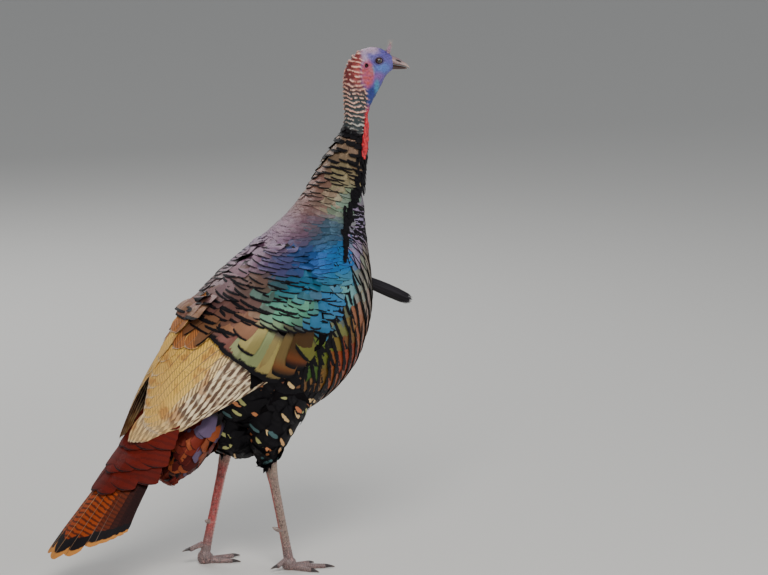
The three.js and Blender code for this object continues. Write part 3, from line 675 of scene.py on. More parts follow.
def laid_vanes():
    """The tree: a vane on each point, bent along that point's own course, side lines and bow."""
    tree = bpy.data.node_groups.new("laid_vanes", "GeometryNodeTree")
    for name, kind in (("Courses", "NodeSocketGeometry"), ("Vane", "NodeSocketObject"),
                       ("Thickness", "NodeSocketFloat"), ("Finish", "NodeSocketMaterial")):
        tree.interface.new_socket(name, in_out="INPUT", socket_type=kind)
    tree.interface.new_socket("Feathers", in_out="OUTPUT", socket_type="NodeSocketGeometry")

    def add(kind, inputs=(), **settings):
        return new_node(tree, kind, inputs, **settings)

    def named(name, kind="FLOAT_VECTOR"):
        return add("GeometryNodeInputNamedAttribute", {"Name": name}, data_type=kind).outputs["Attribute"]

    def vector(operation, *values):
        node = add("ShaderNodeVectorMath", dict(enumerate(values)), operation=operation)
        return node.outputs["Vector"]

    def between(first, second, share):
        return vector("ADD", first, scaled(vector("SUBTRACT", second, first), share))

    def scaled(value, amount):
        return add("ShaderNodeVectorMath", {0: value, "Scale": amount}, operation="SCALE").outputs["Vector"]

    def maths(operation, *values):
        return add("ShaderNodeMath", dict(enumerate(values)), operation=operation).outputs[0]

    given = add("NodeGroupInput").outputs
    vane = add("GeometryNodeObjectInfo", {"Object": given["Vane"]}).outputs["Geometry"]
    placed = add("GeometryNodeInstanceOnPoints", {"Points": given["Courses"], "Instance": vane})
    real = add("GeometryNodeRealizeInstances", {0: placed.outputs[0]})
    cell = add("ShaderNodeSeparateXYZ", {0: named("cell")}).outputs
    course = [named(f"course_{k}") for k in range(4)]
    first = [between(course[k], course[k + 1], cell["Y"]) for k in range(3)]
    second = [between(first[k], first[k + 1], cell["Y"]) for k in range(2)]
    middle = between(second[0], second[1], cell["Y"])
    tangent = vector("NORMALIZE", vector("SUBTRACT", second[1], second[0]))
    side = vector("NORMALIZE", between(named("side_root"), named("side_tip"), cell["Y"]))
    rise = vector("NORMALIZE", vector("CROSS_PRODUCT", side, tangent))
    wide = maths("MULTIPLY", cell["X"], named("half", "FLOAT"))
    bowed = maths("MULTIPLY", maths("MULTIPLY", cell["X"], cell["X"]), named("bow", "FLOAT"))
    height = maths("ADD", bowed, maths("MULTIPLY", cell["Z"], given["Thickness"]))
    spread = vector("ADD", scaled(side, wide), scaled(rise, height))
    place = vector("ADD", middle, spread)
    moved = add("GeometryNodeSetPosition", {"Geometry": real.outputs[0], "Position": place})
    patch = vector("MULTIPLY", vector("SUBTRACT", named("vane"), (0.5, 0.5, 0)), named("patch"))
    unwrap = vector("ADD", named("unwrap"), patch)
    baked = add("GeometryNodeStoreNamedAttribute",
                {"Geometry": moved.outputs[0], "Name": "OFBake", "Value": unwrap},
                data_type="FLOAT2", domain="CORNER")
    finished = add("GeometryNodeSetMaterial", {"Geometry": baked.outputs[0], "Material": given["Finish"]})
    add("NodeGroupOutput", {"Feathers": finished.outputs[0]})
    return tree


LAID_VANES = laid_vanes()

# What a point of a feather's course carries, and how many numbers each has. The finishes read the tint
# and the look, so these two stay on the finished piece.
COURSE_DATA = {"course_0": 3, "course_1": 3, "course_2": 3, "course_3": 3, "side_root": 3, "side_tip": 3,
               "half": 1, "bow": 1, "tint": 3, "look": 3, "unwrap": 3, "patch": 3}


class Feathers:
    """Feathers gathered for one piece: each has a course of four points, and its width and colours."""

    def __init__(self):
        self.rows = []

    def lay(self, course, side_root, side_tip, half, bow, tint, look, unwrap, patch=PATCH):
        """Adds n feathers; course is n x 4 x 3 points that the shaft passes through."""
        c0, c1, c2, c3 = np.moveaxis(course, 1, 0)
        b1 = (-5 * c0 + 18 * c1 - 9 * c2 + 2 * c3) / 6
        b2 = (2 * c0 - 9 * c1 + 18 * c2 - 5 * c3) / 6
        many = len(course)
        wide = lambda value, width: np.broadcast_to(np.asarray(value, float), (many, width))
        column = lambda value: np.broadcast_to(np.asarray(value, float), (many,))[:, None]
        unwrap = np.concatenate([wide(unwrap, 2), np.zeros((many, 1))], 1)
        patch = np.concatenate([wide(patch, 2), np.zeros((many, 1))], 1)
        self.rows.append(np.concatenate(
            [c0, b1, b2, c3, side_root, side_tip, column(half), column(bow), wide(tint, 3), wide(look, 3),
             unwrap, patch], 1))

    def piece(self, name, template, finish, thickness=0.35):
        """One plain mesh of all its feathers."""
        rows = np.concatenate(self.rows)
        courses = mesh_object(name, rows[:, :3], [])
        data = courses.data
        start = 0
        for key, width in COURSE_DATA.items():
            values = rows[:, start:start + width]
            start += width
            if key.startswith("course"):
                values = metres(values)
            if key in ("half", "bow"):
                values = values * MM
            if key == "tint":
                set_colours(data, "tint", values)
                continue
            kind, field = ("FLOAT", "value") if width == 1 else ("FLOAT_VECTOR", "vector")
            layer = data.attributes.new(key, kind, "POINT")
            layer.data.foreach_set(field, values.astype(np.float32).ravel())
        laying = courses.modifiers.new("laid_vanes", "NODES")
        laying.node_group = LAID_VANES
        items = LAID_VANES.interface.items_tree
        sockets = {item.name: item.identifier for item in items if item.in_out == "INPUT"}
        laying[sockets["Vane"]] = template
        laying[sockets["Thickness"]] = thickness * MM
        laying[sockets["Finish"]] = finish.material
        made = evaluated(courses)
        for key in (*COURSE_DATA, "cell"):
            if key not in ("tint", "look"):
                made.attributes.remove(made.attributes[key])
        return courses


def seen_at(points):
    """Column and row of the side view where points show, with the left side's taken as the right's."""
    points = np.array(points, float)
    points[..., 1] = -np.abs(points[..., 1])
    away = points + DISTANCE * ahead + off_axis
    depth = away @ ahead * PIXEL / DISTANCE
    return np.stack([IMAGE[0] / 2 + away @ aside / depth, IMAGE[1] / 2 - away @ above / depth], -1)


class Zones:
    """Colours by place: each zone is a column and row of the side view, a reach both ways and a colour."""

    def __init__(self, base, zones):
        self.base, self.zones = base, zones

    def at(self, points):
        spots = seen_at(points)
        total = np.full(spots.shape[:-1], 0.02)
        colour = np.asarray(self.base) * total[..., None]
        for (column, row), (wide, high), tone in self.zones.values():
            away = ((spots[..., 0] - column) / wide) ** 2 + ((spots[..., 1] - row) / high) ** 2
            weight = np.exp(-away * 1.4)
            colour = colour + weight[..., None] * np.asarray(tone)
            total = total + weight
        return (colour / total[..., None]) ** DEPTH_OF_COLOUR


# The surfaces that the feathers lie on: the outline of the body, alone and with the haunches.
def tree_of(parts):
    points, faces = [], []
    for own, own_faces in parts:
        faces += [[v + sum(map(len, points)) for v in face] for face in own_faces]
        points.append(own)
    return BVHTree.FromPolygons(np.concatenate(points).tolist(), faces)


OUTLINE_RINGS, OUTLINE_SIDES = 120, 96
outline_t, outline_angle = np.meshgrid(np.linspace(FEATHERED - 1, TAIL_ROOT, OUTLINE_RINGS),
                                       all_round(OUTLINE_SIDES), indexing="ij")
outline = turned(straight_body(outline_t, outline_angle)).reshape(-1, 3)
outline_part = (outline, tube_faces(OUTLINE_RINGS, OUTLINE_SIDES))
haunch_part = cad_shape(["belly", "thigh_left", "thigh_right"])
BODY = tree_of([outline_part])
HAUNCH = tree_of([outline_part, haunch_part])


def outermost(shape, point, normal, reach=45.0):
    """The outermost point of a shape over a place, and the way out of it there."""
    start = Vector(point + normal * reach)
    place, out, _, _ = shape.ray_cast(start, Vector(-normal), 2.2 * reach)
    if place is None:
        place, out, _, _ = shape.find_nearest(Vector(point))
    out = np.array(out)
    return np.array(place), out if out @ normal > 0 else -out


def unit(vectors):
    return vectors / np.maximum(np.linalg.norm(vectors, axis=-1, keepdims=True), 1e-9)


STEPS = 3  # of a course, between its four points
STEP_REACH, SIDE_REACH = 22, 15  # how far over and under a place the next surface is looked for


def walk(shape, roots, normals, ways, lengths, heights):
    """Courses over a shape: from each root the way it points, at given heights at the four points."""
    courses, sides_root, sides_tip, bows = [], [], [], []
    for root, normal, way, length, height in zip(roots, normals, ways, lengths, heights):
        place, out = outermost(shape, root, normal)
        course = [place + out * height[0]]
        first_side = None
        for k in range(STEPS):
            way = unit(way - out * (way @ out))
            place, seen_out = outermost(shape, place + way * length / STEPS, out, STEP_REACH)
            out = unit(0.5 * out + 0.5 * seen_out)
            course.append(place + out * height[k + 1])
            if first_side is None:
                first_side = np.cross(way, out)
        side = unit(np.cross(unit(course[3] - course[2]), out))
        beside = [place + side * sign * length * 0.25 for sign in (-1, 1)]
        drop = [(outermost(shape, spot, out, SIDE_REACH)[0] - place) @ out for spot in beside]
        courses.append(course)
        sides_root.append(unit(first_side))
        sides_tip.append(side)
        bows.append(np.clip(np.mean(drop), -4, 0.5) / (length * 0.25) ** 2)
    return np.array(courses), np.array(sides_root), np.array(sides_tip), np.array(bows)


# ---- Neck, mantle and breast ----
# Small squared feathers in close rows, each with a metallic bar and a velvet black tip. Those high on
# the neck stand off it; those on the mantle lie flat; those on the side of the breast point back.
SQUARE_OUTLINE = [(0, 0.35), (0.25, 0.7), (0.6, 0.97), (0.85, 1.0), (0.95, 0.95), (1.0, 0.78)]
DEEPEST_BOW = 0.14  # of the half width
square_vane = vane_template("square_vane", SQUARE_OUTLINE, rounding=0.05)

BRONZE, PINK_BRONZE = (0.36, 0.22, 0.14), (0.34, 0.23, 0.22)
PURPLE, BLUE, CYAN = (0.31, 0.21, 0.29), (0.04, 0.17, 0.38), (0.05, 0.28, 0.52)
IRIDESCENCE = Zones(BRONZE, {
    "neck_top": ((338, 150), (16, 22), (0.31, 0.24, 0.19)),
    "neck_back": ((318, 185), (14, 16), (0.36, 0.24, 0.21)),
    "neck_side": ((340, 180), (14, 14), (0.36, 0.33, 0.22)),
    "neck_low_back": ((308, 205), (16, 12), PINK_BRONZE),
    "neck_low_middle": ((328, 200), (14, 12), (0.34, 0.30, 0.24)),
    "neck_low_front": ((345, 205), (10, 14), (0.26, 0.36, 0.30)),
    "mantle_ridge": ((285, 235), (22, 18), PURPLE),
    "mantle_top": ((300, 225), (16, 12), (0.32, 0.22, 0.25)),
    "mantle_middle": ((320, 235), (18, 14), (0.11, 0.20, 0.27)),
    "mantle_side": ((310, 262), (26, 16), BLUE),
    "mantle_low": ((280, 266), (18, 10), (0.17, 0.17, 0.33)),
    "mantle_back": ((245, 262), (26, 12), (0.31, 0.21, 0.28)),
    "shoulder": ((335, 262), (12, 16), CYAN),
    "shoulder_low": ((330, 285), (26, 8), (0.08, 0.26, 0.36)),
    "throat_side": ((358, 238), (7, 26), (0.46, 0.40, 0.54)),
    "breast_top": ((350, 292), (12, 12), (0.30, 0.50, 0.50)),
    "breast_blue": ((328, 308), (12, 12), (0.09, 0.29, 0.48)),
    "breast_front": ((365, 290), (8, 34), (0.50, 0.44, 0.38)),
    "breast_edge": ((360, 335), (8, 18), (0.44, 0.22, 0.13)),
    "breast_side": ((318, 328), (12, 10), (0.10, 0.28, 0.44)),
    "breast_middle": ((338, 332), (12, 12), (0.30, 0.27, 0.13)),
    "breast_low": ((322, 350), (14, 10), (0.24, 0.29, 0.08)),
    "breast_green": ((312, 375), (8, 8), (0.13, 0.23, 0.08)),
    "breast_low_front": ((345, 362), (14, 16), (0.40, 0.11, 0.05)),
    "breast_under": ((328, 380), (12, 10), (0.40, 0.17, 0.06)),
    "scapular_back": ((215, 285), (26, 14), (0.28, 0.20, 0.22)),
    "scapular_low": ((228, 305), (22, 9), (0.28, 0.17, 0.16)),
    "scapular_middle": ((255, 290), (20, 12), (0.28, 0.20, 0.17)),
    "scapular_green": ((272, 298), (18, 9), (0.08, 0.28, 0.26)),
    "covert_green": ((292, 316), (22, 9), (0.18, 0.38, 0.30)),
    "covert_blue": ((290, 290), (18, 8), (0.04, 0.22, 0.32)),
})


ARC_STEPS, LINE_STEPS = 40, 200  # straight steps that lengths on the body are measured in


def tract(rings, spacing, span, stagger_seed, jitter=0.18):
    """Places on the body in staggered rows: stations, angles from the back, for both sides."""
    draw = np.random.default_rng(stagger_seed)
    places, arc = [], np.linspace(0, math.pi, ARC_STEPS)
    for number, t in enumerate(rings):
        low, high = span(t)
        ring = straight_body(t, arc)
        around = np.concatenate([[0], np.cumsum(np.linalg.norm(np.diff(ring, axis=0), axis=1))])
        step = spacing(t)
        first, last = np.interp([low, high], arc, around)
        run = np.arange(first + step * (0.25 + 0.5 * (number % 2)), last, step)
        angles = np.interp(run + draw.normal(0, jitter * step, len(run)), around, arc)
        for side in (RIGHT, LEFT):
            places += [(t + draw.normal(0, 0.03), side * angle) for angle in angles]
    return np.array(places)


def ramp(places, values):
    """A measure that runs straight from value to value, at the stations or stops given."""
    return lambda place: np.interp(place, places, values)


def station_rows(first, last, spacing, angle=1.2):
    """Stations of rows that lie a spacing apart along the bird's side."""
    t = np.linspace(first, last, LINE_STEPS)
    line = straight_body(t, np.full(LINE_STEPS, angle))
    along = np.concatenate([[0], np.cumsum(np.linalg.norm(np.diff(line, axis=0), axis=1))])
    stations, reach = [], 0.0
    while reach < along[-1]:
        stations.append(float(np.interp(reach, along, t)))
        reach += spacing(stations[-1])
    return stations


def lean_of_body(t, angle):
    """How far the feathers lean down from straight back, in radians: up on the side of the breast."""
    from_back = np.degrees(angle)
    mantle = 20 * smooth(10, 50, from_back) * smooth(14.5, 16.5, t)
    breast = np.interp(t, [14.6, 16.5, 18, 20, 23], [0, -58, -48, -30, -12]) * smooth(80, 97, from_back)
    return np.radians(mantle * (1 - smooth(80, 110, from_back)) + breast * (1 - smooth(160, 180, from_back)))


def body_flow(places):
    """Roots of feathers, the ways out of the body there and the ways they point, and spots of the unwrap."""
    t, angle = places.T
    root = turned(straight_body(t, angle))
    back = unit(turned(straight_body(t + 0.02, angle)) - turned(straight_body(t - 0.02, angle)))
    down = unit(turned(straight_body(t, angle + 0.01 * np.sign(angle))) -
                turned(straight_body(t, angle - 0.01 * np.sign(angle))))
    out = unit(np.cross(back, down)) * np.sign(-angle)[:, None]
    middle = through(STATIONS, t)
    heart = np.stack([(middle[:, 0] + middle[:, 2]) / 2, 0 * t, (middle[:, 1] + middle[:, 3]) / 2], -1)
    out *= np.sign(np.sum(out * (root - turned(heart)), -1))[:, None]
    turn = lean_of_body(t, np.abs(angle))
    way = back * np.cos(turn)[:, None] + down * np.sin(turn)[:, None]
    unwrap = np.stack([0.5 + angle / (2 * math.pi) * 0.96, 0.02 + 0.96 * t / TAIL_ROOT], -1)
    return root, out, way, unwrap


def lay_on_body(feathers, shape, places, length, half, heights, zones, look, seed, tone_spread=0.16):
    """Feathers at places of the body, with their length, half width and heights given by station."""
    draw = np.random.default_rng(seed)
    root, out, way, unwrap = body_flow(places)
    many = len(places)
    lengths = length(places[:, 0]) * draw.uniform(0.9, 1.1, many)
    rises = np.array([heights(t) for t in places[:, 0]]) + draw.uniform(-0.15, 0.15, (many, 1))
    way = way + 0.10 * draw.normal(size=way.shape)
    courses, side_root, side_tip, bow = walk(shape, root, out, way, lengths, rises)
    halves = half(places[:, 0]) * draw.uniform(0.9, 1.1, many)
    near_tip = courses[:, 3] * 0.8 + courses[:, 2] * 0.2
    tint = zones.at(near_tip) * draw.uniform(1 - tone_spread, 1 + tone_spread, (many, 1))
    tint = tint * (1 + 0.5 * tone_spread * draw.normal(size=(many, 3)))
    bowed = np.clip(bow * halves ** 2, -DEEPEST_BOW * halves, 0.3)
    feathers.lay(courses, side_root, side_tip, halves, bowed, tint, look(places, draw), unwrap)


plumage = Finish("metallic_plumage", 0.42, Metallic=0.4, Specular_IOR_Level=0.25)
vane_map, vane_at, across, look_at, tint = plumage.vane()
band, blush, spotted = look_at["X"], look_at["Y"], look_at["Z"]
VELVET_BLACK, GREY_ROOT = (0.005, 0.004, 0.006, 1), (0.03, 0.025, 0.025, 1)
DARK_COPPER, COPPER_END = (0.20, 0.05, 0.012, 1), (0.02, 0.006, 0.004, 1)
SPOT_MIDDLE = 0.86  # how far along a vane its pale spot lies

# The black tip: as wide as the band, with a ragged edge.
uneven = plumage.grain(0.004, 1.0)
ragged = plumage.plus(plumage.times(band, 0.55), 0.008)
edge = plumage.bent(plumage.plus(vane_at["Y"], plumage.swing(uneven, ragged)), across, 0.06)
past_tip_start = plumage.less(edge, plumage.less(1.0, band))
tip_range = {"Value": past_tip_start, "From Min": -0.012, "From Max": 0.02}
tip_black = plumage.add("ShaderNodeMapRange", tip_range).outputs["Result"]

# The metallic part: streaked, grey at the root, and copper before the tip where there is a blush.
streaks = plumage.grain(0.05, 2.0, vane_map, (1.5, 0.12, 1))
lit = plumage.mix(plumage.times(streaks, 0.8), tint, plumage.filtered(tint, (1.6, 1.55, 1.45, 1)))
lit = plumage.mix(plumage.step(vane_at["Y"], 0.34, 0.12), lit, GREY_ROOT)
blush_share = plumage.times(plumage.step(vane_at["Y"], 0.62, 0.93), blush)
blush_colour = plumage.mix(plumage.step(vane_at["Y"], 0.8, 0.95), DARK_COPPER, COPPER_END)
lit = plumage.mix(blush_share, lit, blush_colour)

# The other kind of feather: black all over but for one spot.
spot_up = plumage.maths("ABSOLUTE", plumage.times(plumage.less(vane_at["Y"], SPOT_MIDDLE), 14.0))
spot_wide = plumage.maths("POWER", plumage.times(across, 2.3), 4.0)
spot_away = plumage.plus(spot_wide, plumage.maths("POWER", spot_up, 2.5))
spot_away = plumage.plus(spot_away, plumage.swing(uneven, 1.6))
no_spot = plumage.step(spot_away, 0.45, 1.0)
black_share = plumage.mix(spotted, tip_black, no_spot)
plumage.colour(plumage.mix(black_share, lit, VELVET_BLACK))
plumage.bump(plumage.barbs(vane_at, across, 102.0, -138.0), 0.0002, 0.35)
plumage.rough(black_share, 0.36, 0.62)


def looks(many, band, blush, last):
    """The look of each of many feathers: one number for all of them, or a number for each."""
    return np.stack([np.broadcast_to(value, (many,)) for value in (band, blush, last)], -1)


def plain_look(band):
    """A black tip of about one width."""
    return lambda places, draw: looks(len(places), band * draw.uniform(0.8, 1.2, len(places)), 0, 0)


neck_feathers = Feathers()
neck_rows = station_rows(9.45, 15.4, ramp([9.5, 10.2, 12, 13.2, 15.4], [6, 12, 10, 6, 5.5]))
neck_end = ramp([9.8, 10.5, 13.2, 14], [178, 120, 112, 178])
neck_places = tract(neck_rows, ramp([9.5, 10.3, 13, 15], [8, 14, 19, 21]),
                    lambda t: (0, math.radians(neck_end(t))), 3, 0.1)


def neck_look(places, draw):
    """Broad black tips high on the neck and on the pale scales of its front, next to none elsewhere."""
    stations, from_back = places[:, 0], np.degrees(np.abs(places[:, 1]))
    width = np.interp(stations, [9.8, 10.2, 11.2, 12.2, 13.2, 15], [0.6, 0.20, 0.11, 0.05, 0.015, 0.015])
    width = np.where((stations > 13.4) & (from_back > 98), 0.20, width)
    return looks(len(places), width * draw.uniform(0.75, 1.25, len(places)), 0, 0)


lay_on_body(neck_feathers, BODY, neck_places, ramp([9.5, 10.5, 12, 15], [17, 32, 34, 28]),
            ramp([9.5, 10.5, 13, 15], [5, 12, 16, 17]),
            lambda t: np.array([-5, -2.5, 0, np.interp(t, [9.5, 10.5, 12, 13.4], [2.2, 4.0, 2.6, 0.35])]),
            IRIDESCENCE, neck_look, 5, 0.06)
front_places = tract(station_rows(9.9, 13.3, lambda t: 6, 3.0), lambda t: 5.5,
                     lambda t: (math.radians(np.interp(t, [10, 10.6, 13], [150, 106, 104])), math.pi), 13)
strip_start = ramp([13, 14, 15, 16.6], [104, 92, 86, 84])
strip_width = ramp([13, 14, 16.6], [22, 11, 4])
strip_places = tract(station_rows(13.0, 16.7, lambda t: 5, 1.5), lambda t: 4.0,
                     lambda t: np.radians(strip_start(t) + np.array([0, strip_width(t)])), 14)
lay_on_body(neck_feathers, BODY, np.concatenate([front_places, strip_places]), lambda t: 24,
            lambda t: 3.2, lambda t: np.array([-3, -0.5, 1.4, np.interp(t, [13, 15], [3.4, 2.4])]),
            Zones((0.02, 0.02, 0.025), {}), plain_look(0.5), 15)
breast_feathers = Feathers()
breast_places = tract(station_rows(15.3, 22.6, ramp([15, 17], [6, 10.5]), 2.2),
                      ramp([15, 16.5], [14, 30]), lambda t: (math.radians(86), math.pi), 33, 0.07)


def breast_look(places, draw):
    """Narrow black bars on the front of the breast and at its top, broad ones on its side."""
    side_share = 1 - smooth(135, 165, np.degrees(np.abs(places[:, 1])))
    width = 0.05 + (0.09 * side_share + 0.02) * smooth(16, 17.6, places[:, 0])
    width += 0.05 * smooth(18.5, 20.5, places[:, 0])
    return looks(len(places), width * draw.uniform(0.85, 1.15, len(places)), 0, 0)


lay_on_body(breast_feathers, BODY, breast_places, ramp([15, 17, 21], [28, 36, 40]),
            ramp([15, 16.5], [12, 19]), lambda t: np.array([-6, -3, -0.7, 0.4]),
            IRIDESCENCE, breast_look, 35, 0.12)
for name, feathers in (("neck_feathers", neck_feathers), ("breast_feathers", breast_feathers)):
    coat = feathers.piece(name, square_vane, plumage)
    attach(coat, "root")

# ---- The folded wing: its surface ----
# Each stop has the right wing's upper and lower edge and how far its middle bulges. A place on the wing
# is its stop, from the bend of the wing to its tip, and its share of the width, from the upper edge down.
WING = np.array([
    (62, -78, 552, 96, -112, 420, 22), (42, -64, 550, 72, -122, 388, 34),
    (0, -46, 532, 20, -123, 360, 41), (-48, -26, 502, -30, -115, 340, 41),
    (-98, -11, 463, -80, -100, 316, 37), (-139, -4, 419, -124, -84, 294, 31),
    (-175, -4, 371, -163, -69, 273, 24), (-205, -6, 322, -195, -54, 254, 14),
    (-230, -9, 271, -221, -38, 242, 5), (-239, -15, 251, -235, -26, 240, 1),
])
WING_OVER_TRUNK = 5
HALVINGS = 12  # of the search for the section that a point belongs to


def clear_of_trunk(points, height):
    """Points moved out from the trunk's middle until they are at least a height over the trunk."""

    def section(t):
        back_x, back_z, belly_x, belly_z, half = np.moveaxis(through(STATIONS, t), -1, 0)
        return (back_x + belly_x) / 2, (back_z + belly_z) / 2, back_x - belly_x, back_z - belly_z, half

    def behind(t):
        x, z, up_x, up_z, _ = section(t)
        return (points[..., 2] - z) * up_x - (points[..., 0] - x) * up_z > 0

    front, rear = np.full(points.shape[:-1], 15.0), np.full(points.shape[:-1], float(TAIL_ROOT))
    past = behind(rear)
    for _ in range(HALVINGS):
        middle = (front + rear) / 2
        after = behind(middle)
        front, rear = np.where(after, middle, front), np.where(after, rear, middle)
    x, z, up_x, up_z, half = section(front)
    depth = np.hypot(up_x, up_z) / 2
    rise = ((points[..., 0] - x) * up_x + (points[..., 2] - z) * up_z) / (2 * depth)
    power = 2 / FULLNESS
    reach = (np.abs(rise / depth) ** power + np.abs(points[..., 1] / half) ** power) ** (1 / power)
    out = np.maximum(1, (1 + height / half) / reach)
    raised = rise * out / (2 * depth)
    moved = np.stack([x + up_x * raised, points[..., 1] * out, z + up_z * raised], -1)
    return np.where(past[..., None], points, moved)


def wing(stop, share):
    """A point of the right wing's outer surface."""
    upper, lower = through(WING[:, 0:3], stop), through(WING[:, 3:6], stop)
    chord = lower - upper
    out = np.array([0, -1, 0]) + chord * (chord[..., 1:2] / np.sum(chord ** 2, -1, keepdims=True))
    middle = (upper + lower) / 2 + 2 * through(WING[:, 6:7], stop) * unit(out)
    share = np.asarray(share, float)[..., None]
    point = upper * (1 - share) ** 2 + middle * 2 * share * (1 - share) + lower * share ** 2
    return clear_of_trunk(point, WING_OVER_TRUNK)


SHEET_STEP = 0.02  # of a sheet's own measures, for its slopes


def sheet_frame(sheet, u, v):
    """A place on a sheet such as a wing or the tail, the way out of it, and how wide the sheet is there."""
    along = sheet(u + SHEET_STEP, v) - sheet(u - SHEET_STEP, v)
    down = sheet(u, v + SHEET_STEP) - sheet(u, v - SHEET_STEP)
    return sheet(u, v), unit(np.cross(along, down)), np.linalg.norm(down, axis=-1) / (2 * SHEET_STEP)


def runs_back(tips, slants, length):
    """Steps from root to tip, back along the wing and slanting down it, so many millimetres long."""
    tips, ways = np.array(tips, float), unit(np.stack([np.ones(len(tips)), slants], -1))
    moved = wing(*(tips + ways * SHEET_STEP).T) - wing(*(tips - ways * SHEET_STEP).T)
    pace = np.linalg.norm(moved, axis=1) / (2 * SHEET_STEP)
    return ways * (length / pace)[:, None]


def lay_on_sheet(feathers, sheet, tips, runs, halves, heights, tint, look, unwrap, seed, sides=(1,),
                 patch=PATCH, wild=0.0):
    """Feathers on a sheet, from their tips and the steps that run from root to tip, on one side or both."""
    draw = np.random.default_rng(seed)
    tips, runs = np.array(tips, float), np.array(runs, float)
    many = len(tips)
    runs = runs * draw.uniform(1 - wild, 1 + wild, (many, 1))
    runs = runs + wild * draw.normal(size=runs.shape) * np.linalg.norm(runs, axis=1, keepdims=True)
    halves = np.broadcast_to(halves, (many,)).astype(float)
    heights = np.broadcast_to(heights, (many, 4)) + draw.uniform(-4, 4, (many, 1)) * wild
    course, outs = [], []
    for k in range(4):
        place, out, pace = sheet_frame(sheet, *(tips - runs * (1 - k / 3)).T)
        course.append(place + out * heights[:, k:k + 1])
        outs.append(out)
        if k == 2:
            beside = np.zeros(many)
            for sign in (-0.5, 0.5):
                spot = tips - runs / 3
                spot[:, 1] += sign * halves / pace
                beside += np.sum((sheet(*spot.T) - place) * out, -1) * 2
    course, outs = np.stack(course, 1), np.stack(outs, 1)
    tints = tint(course, draw) if callable(tint) else np.broadcast_to(tint, (many, 3))
    looks = look(many, draw)
    for side in sides:
        flip = np.array([1, side, 1])
        own, own_out = course * flip, outs * flip
        side_root = unit(np.cross(own[:, 1] - own[:, 0], own_out[:, 0]))
        side_tip = unit(np.cross(own[:, 3] - own[:, 2], own_out[:, 3]))
        spots = np.stack([np.linspace(0.04, 0.46, many) + 0.25 + 0.25 * side, np.full(many, unwrap)], -1)
        feathers.lay(own, side_root, side_tip, halves, np.clip(beside, -6, 0.3), tints, looks * [1, 1, side],
                     spots, patch)


def along_line(points, spacing):
    """Places along a line of the wing, as far apart as the spacing that belongs to each stop."""
    places = through(points, np.linspace(0, len(points) - 1, 300))
    steps = np.linalg.norm(np.diff(wing(*places.T), axis=0), axis=1) / spacing(places[1:, 0])
    run = np.concatenate([[0], np.cumsum(steps)])
    reach = np.arange(0.5, run[-1], 1.0)
    return np.stack([np.interp(reach, run, places[:, k]) for k in (0, 1)], -1)


# ---- Wing coverts ----
# Rows of squared feathers shingle the arm of the wing: many small ones above, a row of middle ones, and
# the great coverts below, whose long bronze blades end in one broad black bar across the wing.
COVERT_VANE_OUTLINE = [(0, 0.4), (0.3, 0.8), (0.7, 1.0), (0.94, 0.98), (1.0, 0.88)]
covert_vane = vane_template("covert_vane", COVERT_VANE_OUTLINE, 10, 7,
                            rounding=0.035)
COVERT_COLOURS = Zones(BRONZE, dict(IRIDESCENCE.zones, **{
    "great_middle": ((262, 355), (18, 18), (0.46, 0.42, 0.22)),
    # Dark brown at the fore end of the great coverts: painted shade where the wing turns under towards the
    # flank.
    "great_fore_shade": ((292, 352), (12, 18), (0.16, 0.10, 0.05)),
    "great_green": ((238, 364), (8, 6), (0.24, 0.38, 0.27)),
    "great_pink": ((230, 343), (14, 8), (0.26, 0.14, 0.12)),
    "great_back": ((205, 325), (14, 8), (0.22, 0.13, 0.12)),
}))
MEDIAN_LINE = [(4.7, -0.1), (4.2, 0.04), (3.77, 0.15), (3.47, 0.32), (3.22, 0.41), (2.77, 0.54), (2.11, 0.65),
               (1.46, 0.74), (1.0, 0.78)]
GREATER_LINE = [(4.45, 0.13), (4.33, 0.24), (4.17, 0.41), (4.02, 0.57), (3.72, 0.71), (3.42, 0.83),
                (3.07, 0.94), (2.77, 0.99), (2.2, 1.0), (1.6, 0.98)]
PINK_TIPS = [(3.87, 0.37), (3.5, 0.5), (3.47, 0.66)]
LESSER_ROWS = 13


def covert_colour(course, draw):
    """The colour of the place where a covert's tip lies, a little different for each."""
    tones = COVERT_COLOURS.at(course[:, 3] * 0.75 + course[:, 2] * 0.25)
    tones = tones * draw.uniform(0.92, 1.08, (len(course), 1))
    return tones * (1 + 0.04 * draw.normal(size=(len(course), 3)))


def banded(width, blush=0.0):
    """The look of feathers with a black tip of a width, and a blush of dark copper before it."""
    return lambda many, draw: looks(many, width * draw.uniform(0.85, 1.2, many), blush, 0)


BOTH = (1, -1)
wing_coverts = Feathers()
greater_tips = along_line(GREATER_LINE, ramp([2.8, 4], [27, 21]))
slant = np.interp(greater_tips[:, 0], [1.6, 2.8, 3.4, 4.0, 4.5], [0.5, 0.42, 0.24, 0.1, 0.02])
lay_on_sheet(wing_coverts, wing, greater_tips,
             runs_back(greater_tips, slant, 105),
             np.interp(greater_tips[:, 0], [2.8, 4], [23, 17]),
             np.array([-8, -4, -1.5, 0.4]) + np.linspace(0.8, 0, len(greater_tips))[:, None], covert_colour,
             banded(np.interp(greater_tips[:, 0], [1.8, 2.8], [0.04, 0.075]),
                    np.interp(greater_tips[:, 0], [2.2, 3.4], [1.0, 0.0])), 0.06, 41, BOTH, wild=0.01)
lay_on_sheet(wing_coverts, wing, PINK_TIPS, runs_back(PINK_TIPS, [0.06, 0.1, 0.2], 80), 17,
             (-4, -1, 0.8, 1.9), covert_colour, banded(0.06), 0.08, 42, BOTH, wild=0.03)
covert_half = ramp([0.5, 2, 3.2, 4.2], [11, 13, 18, 24])
median_tips = along_line(MEDIAN_LINE, lambda stop: 1.35 * covert_half(stop))
slant = np.interp(median_tips[:, 0], [1, 3, 4.2], [0.5, 0.22, 0.04])
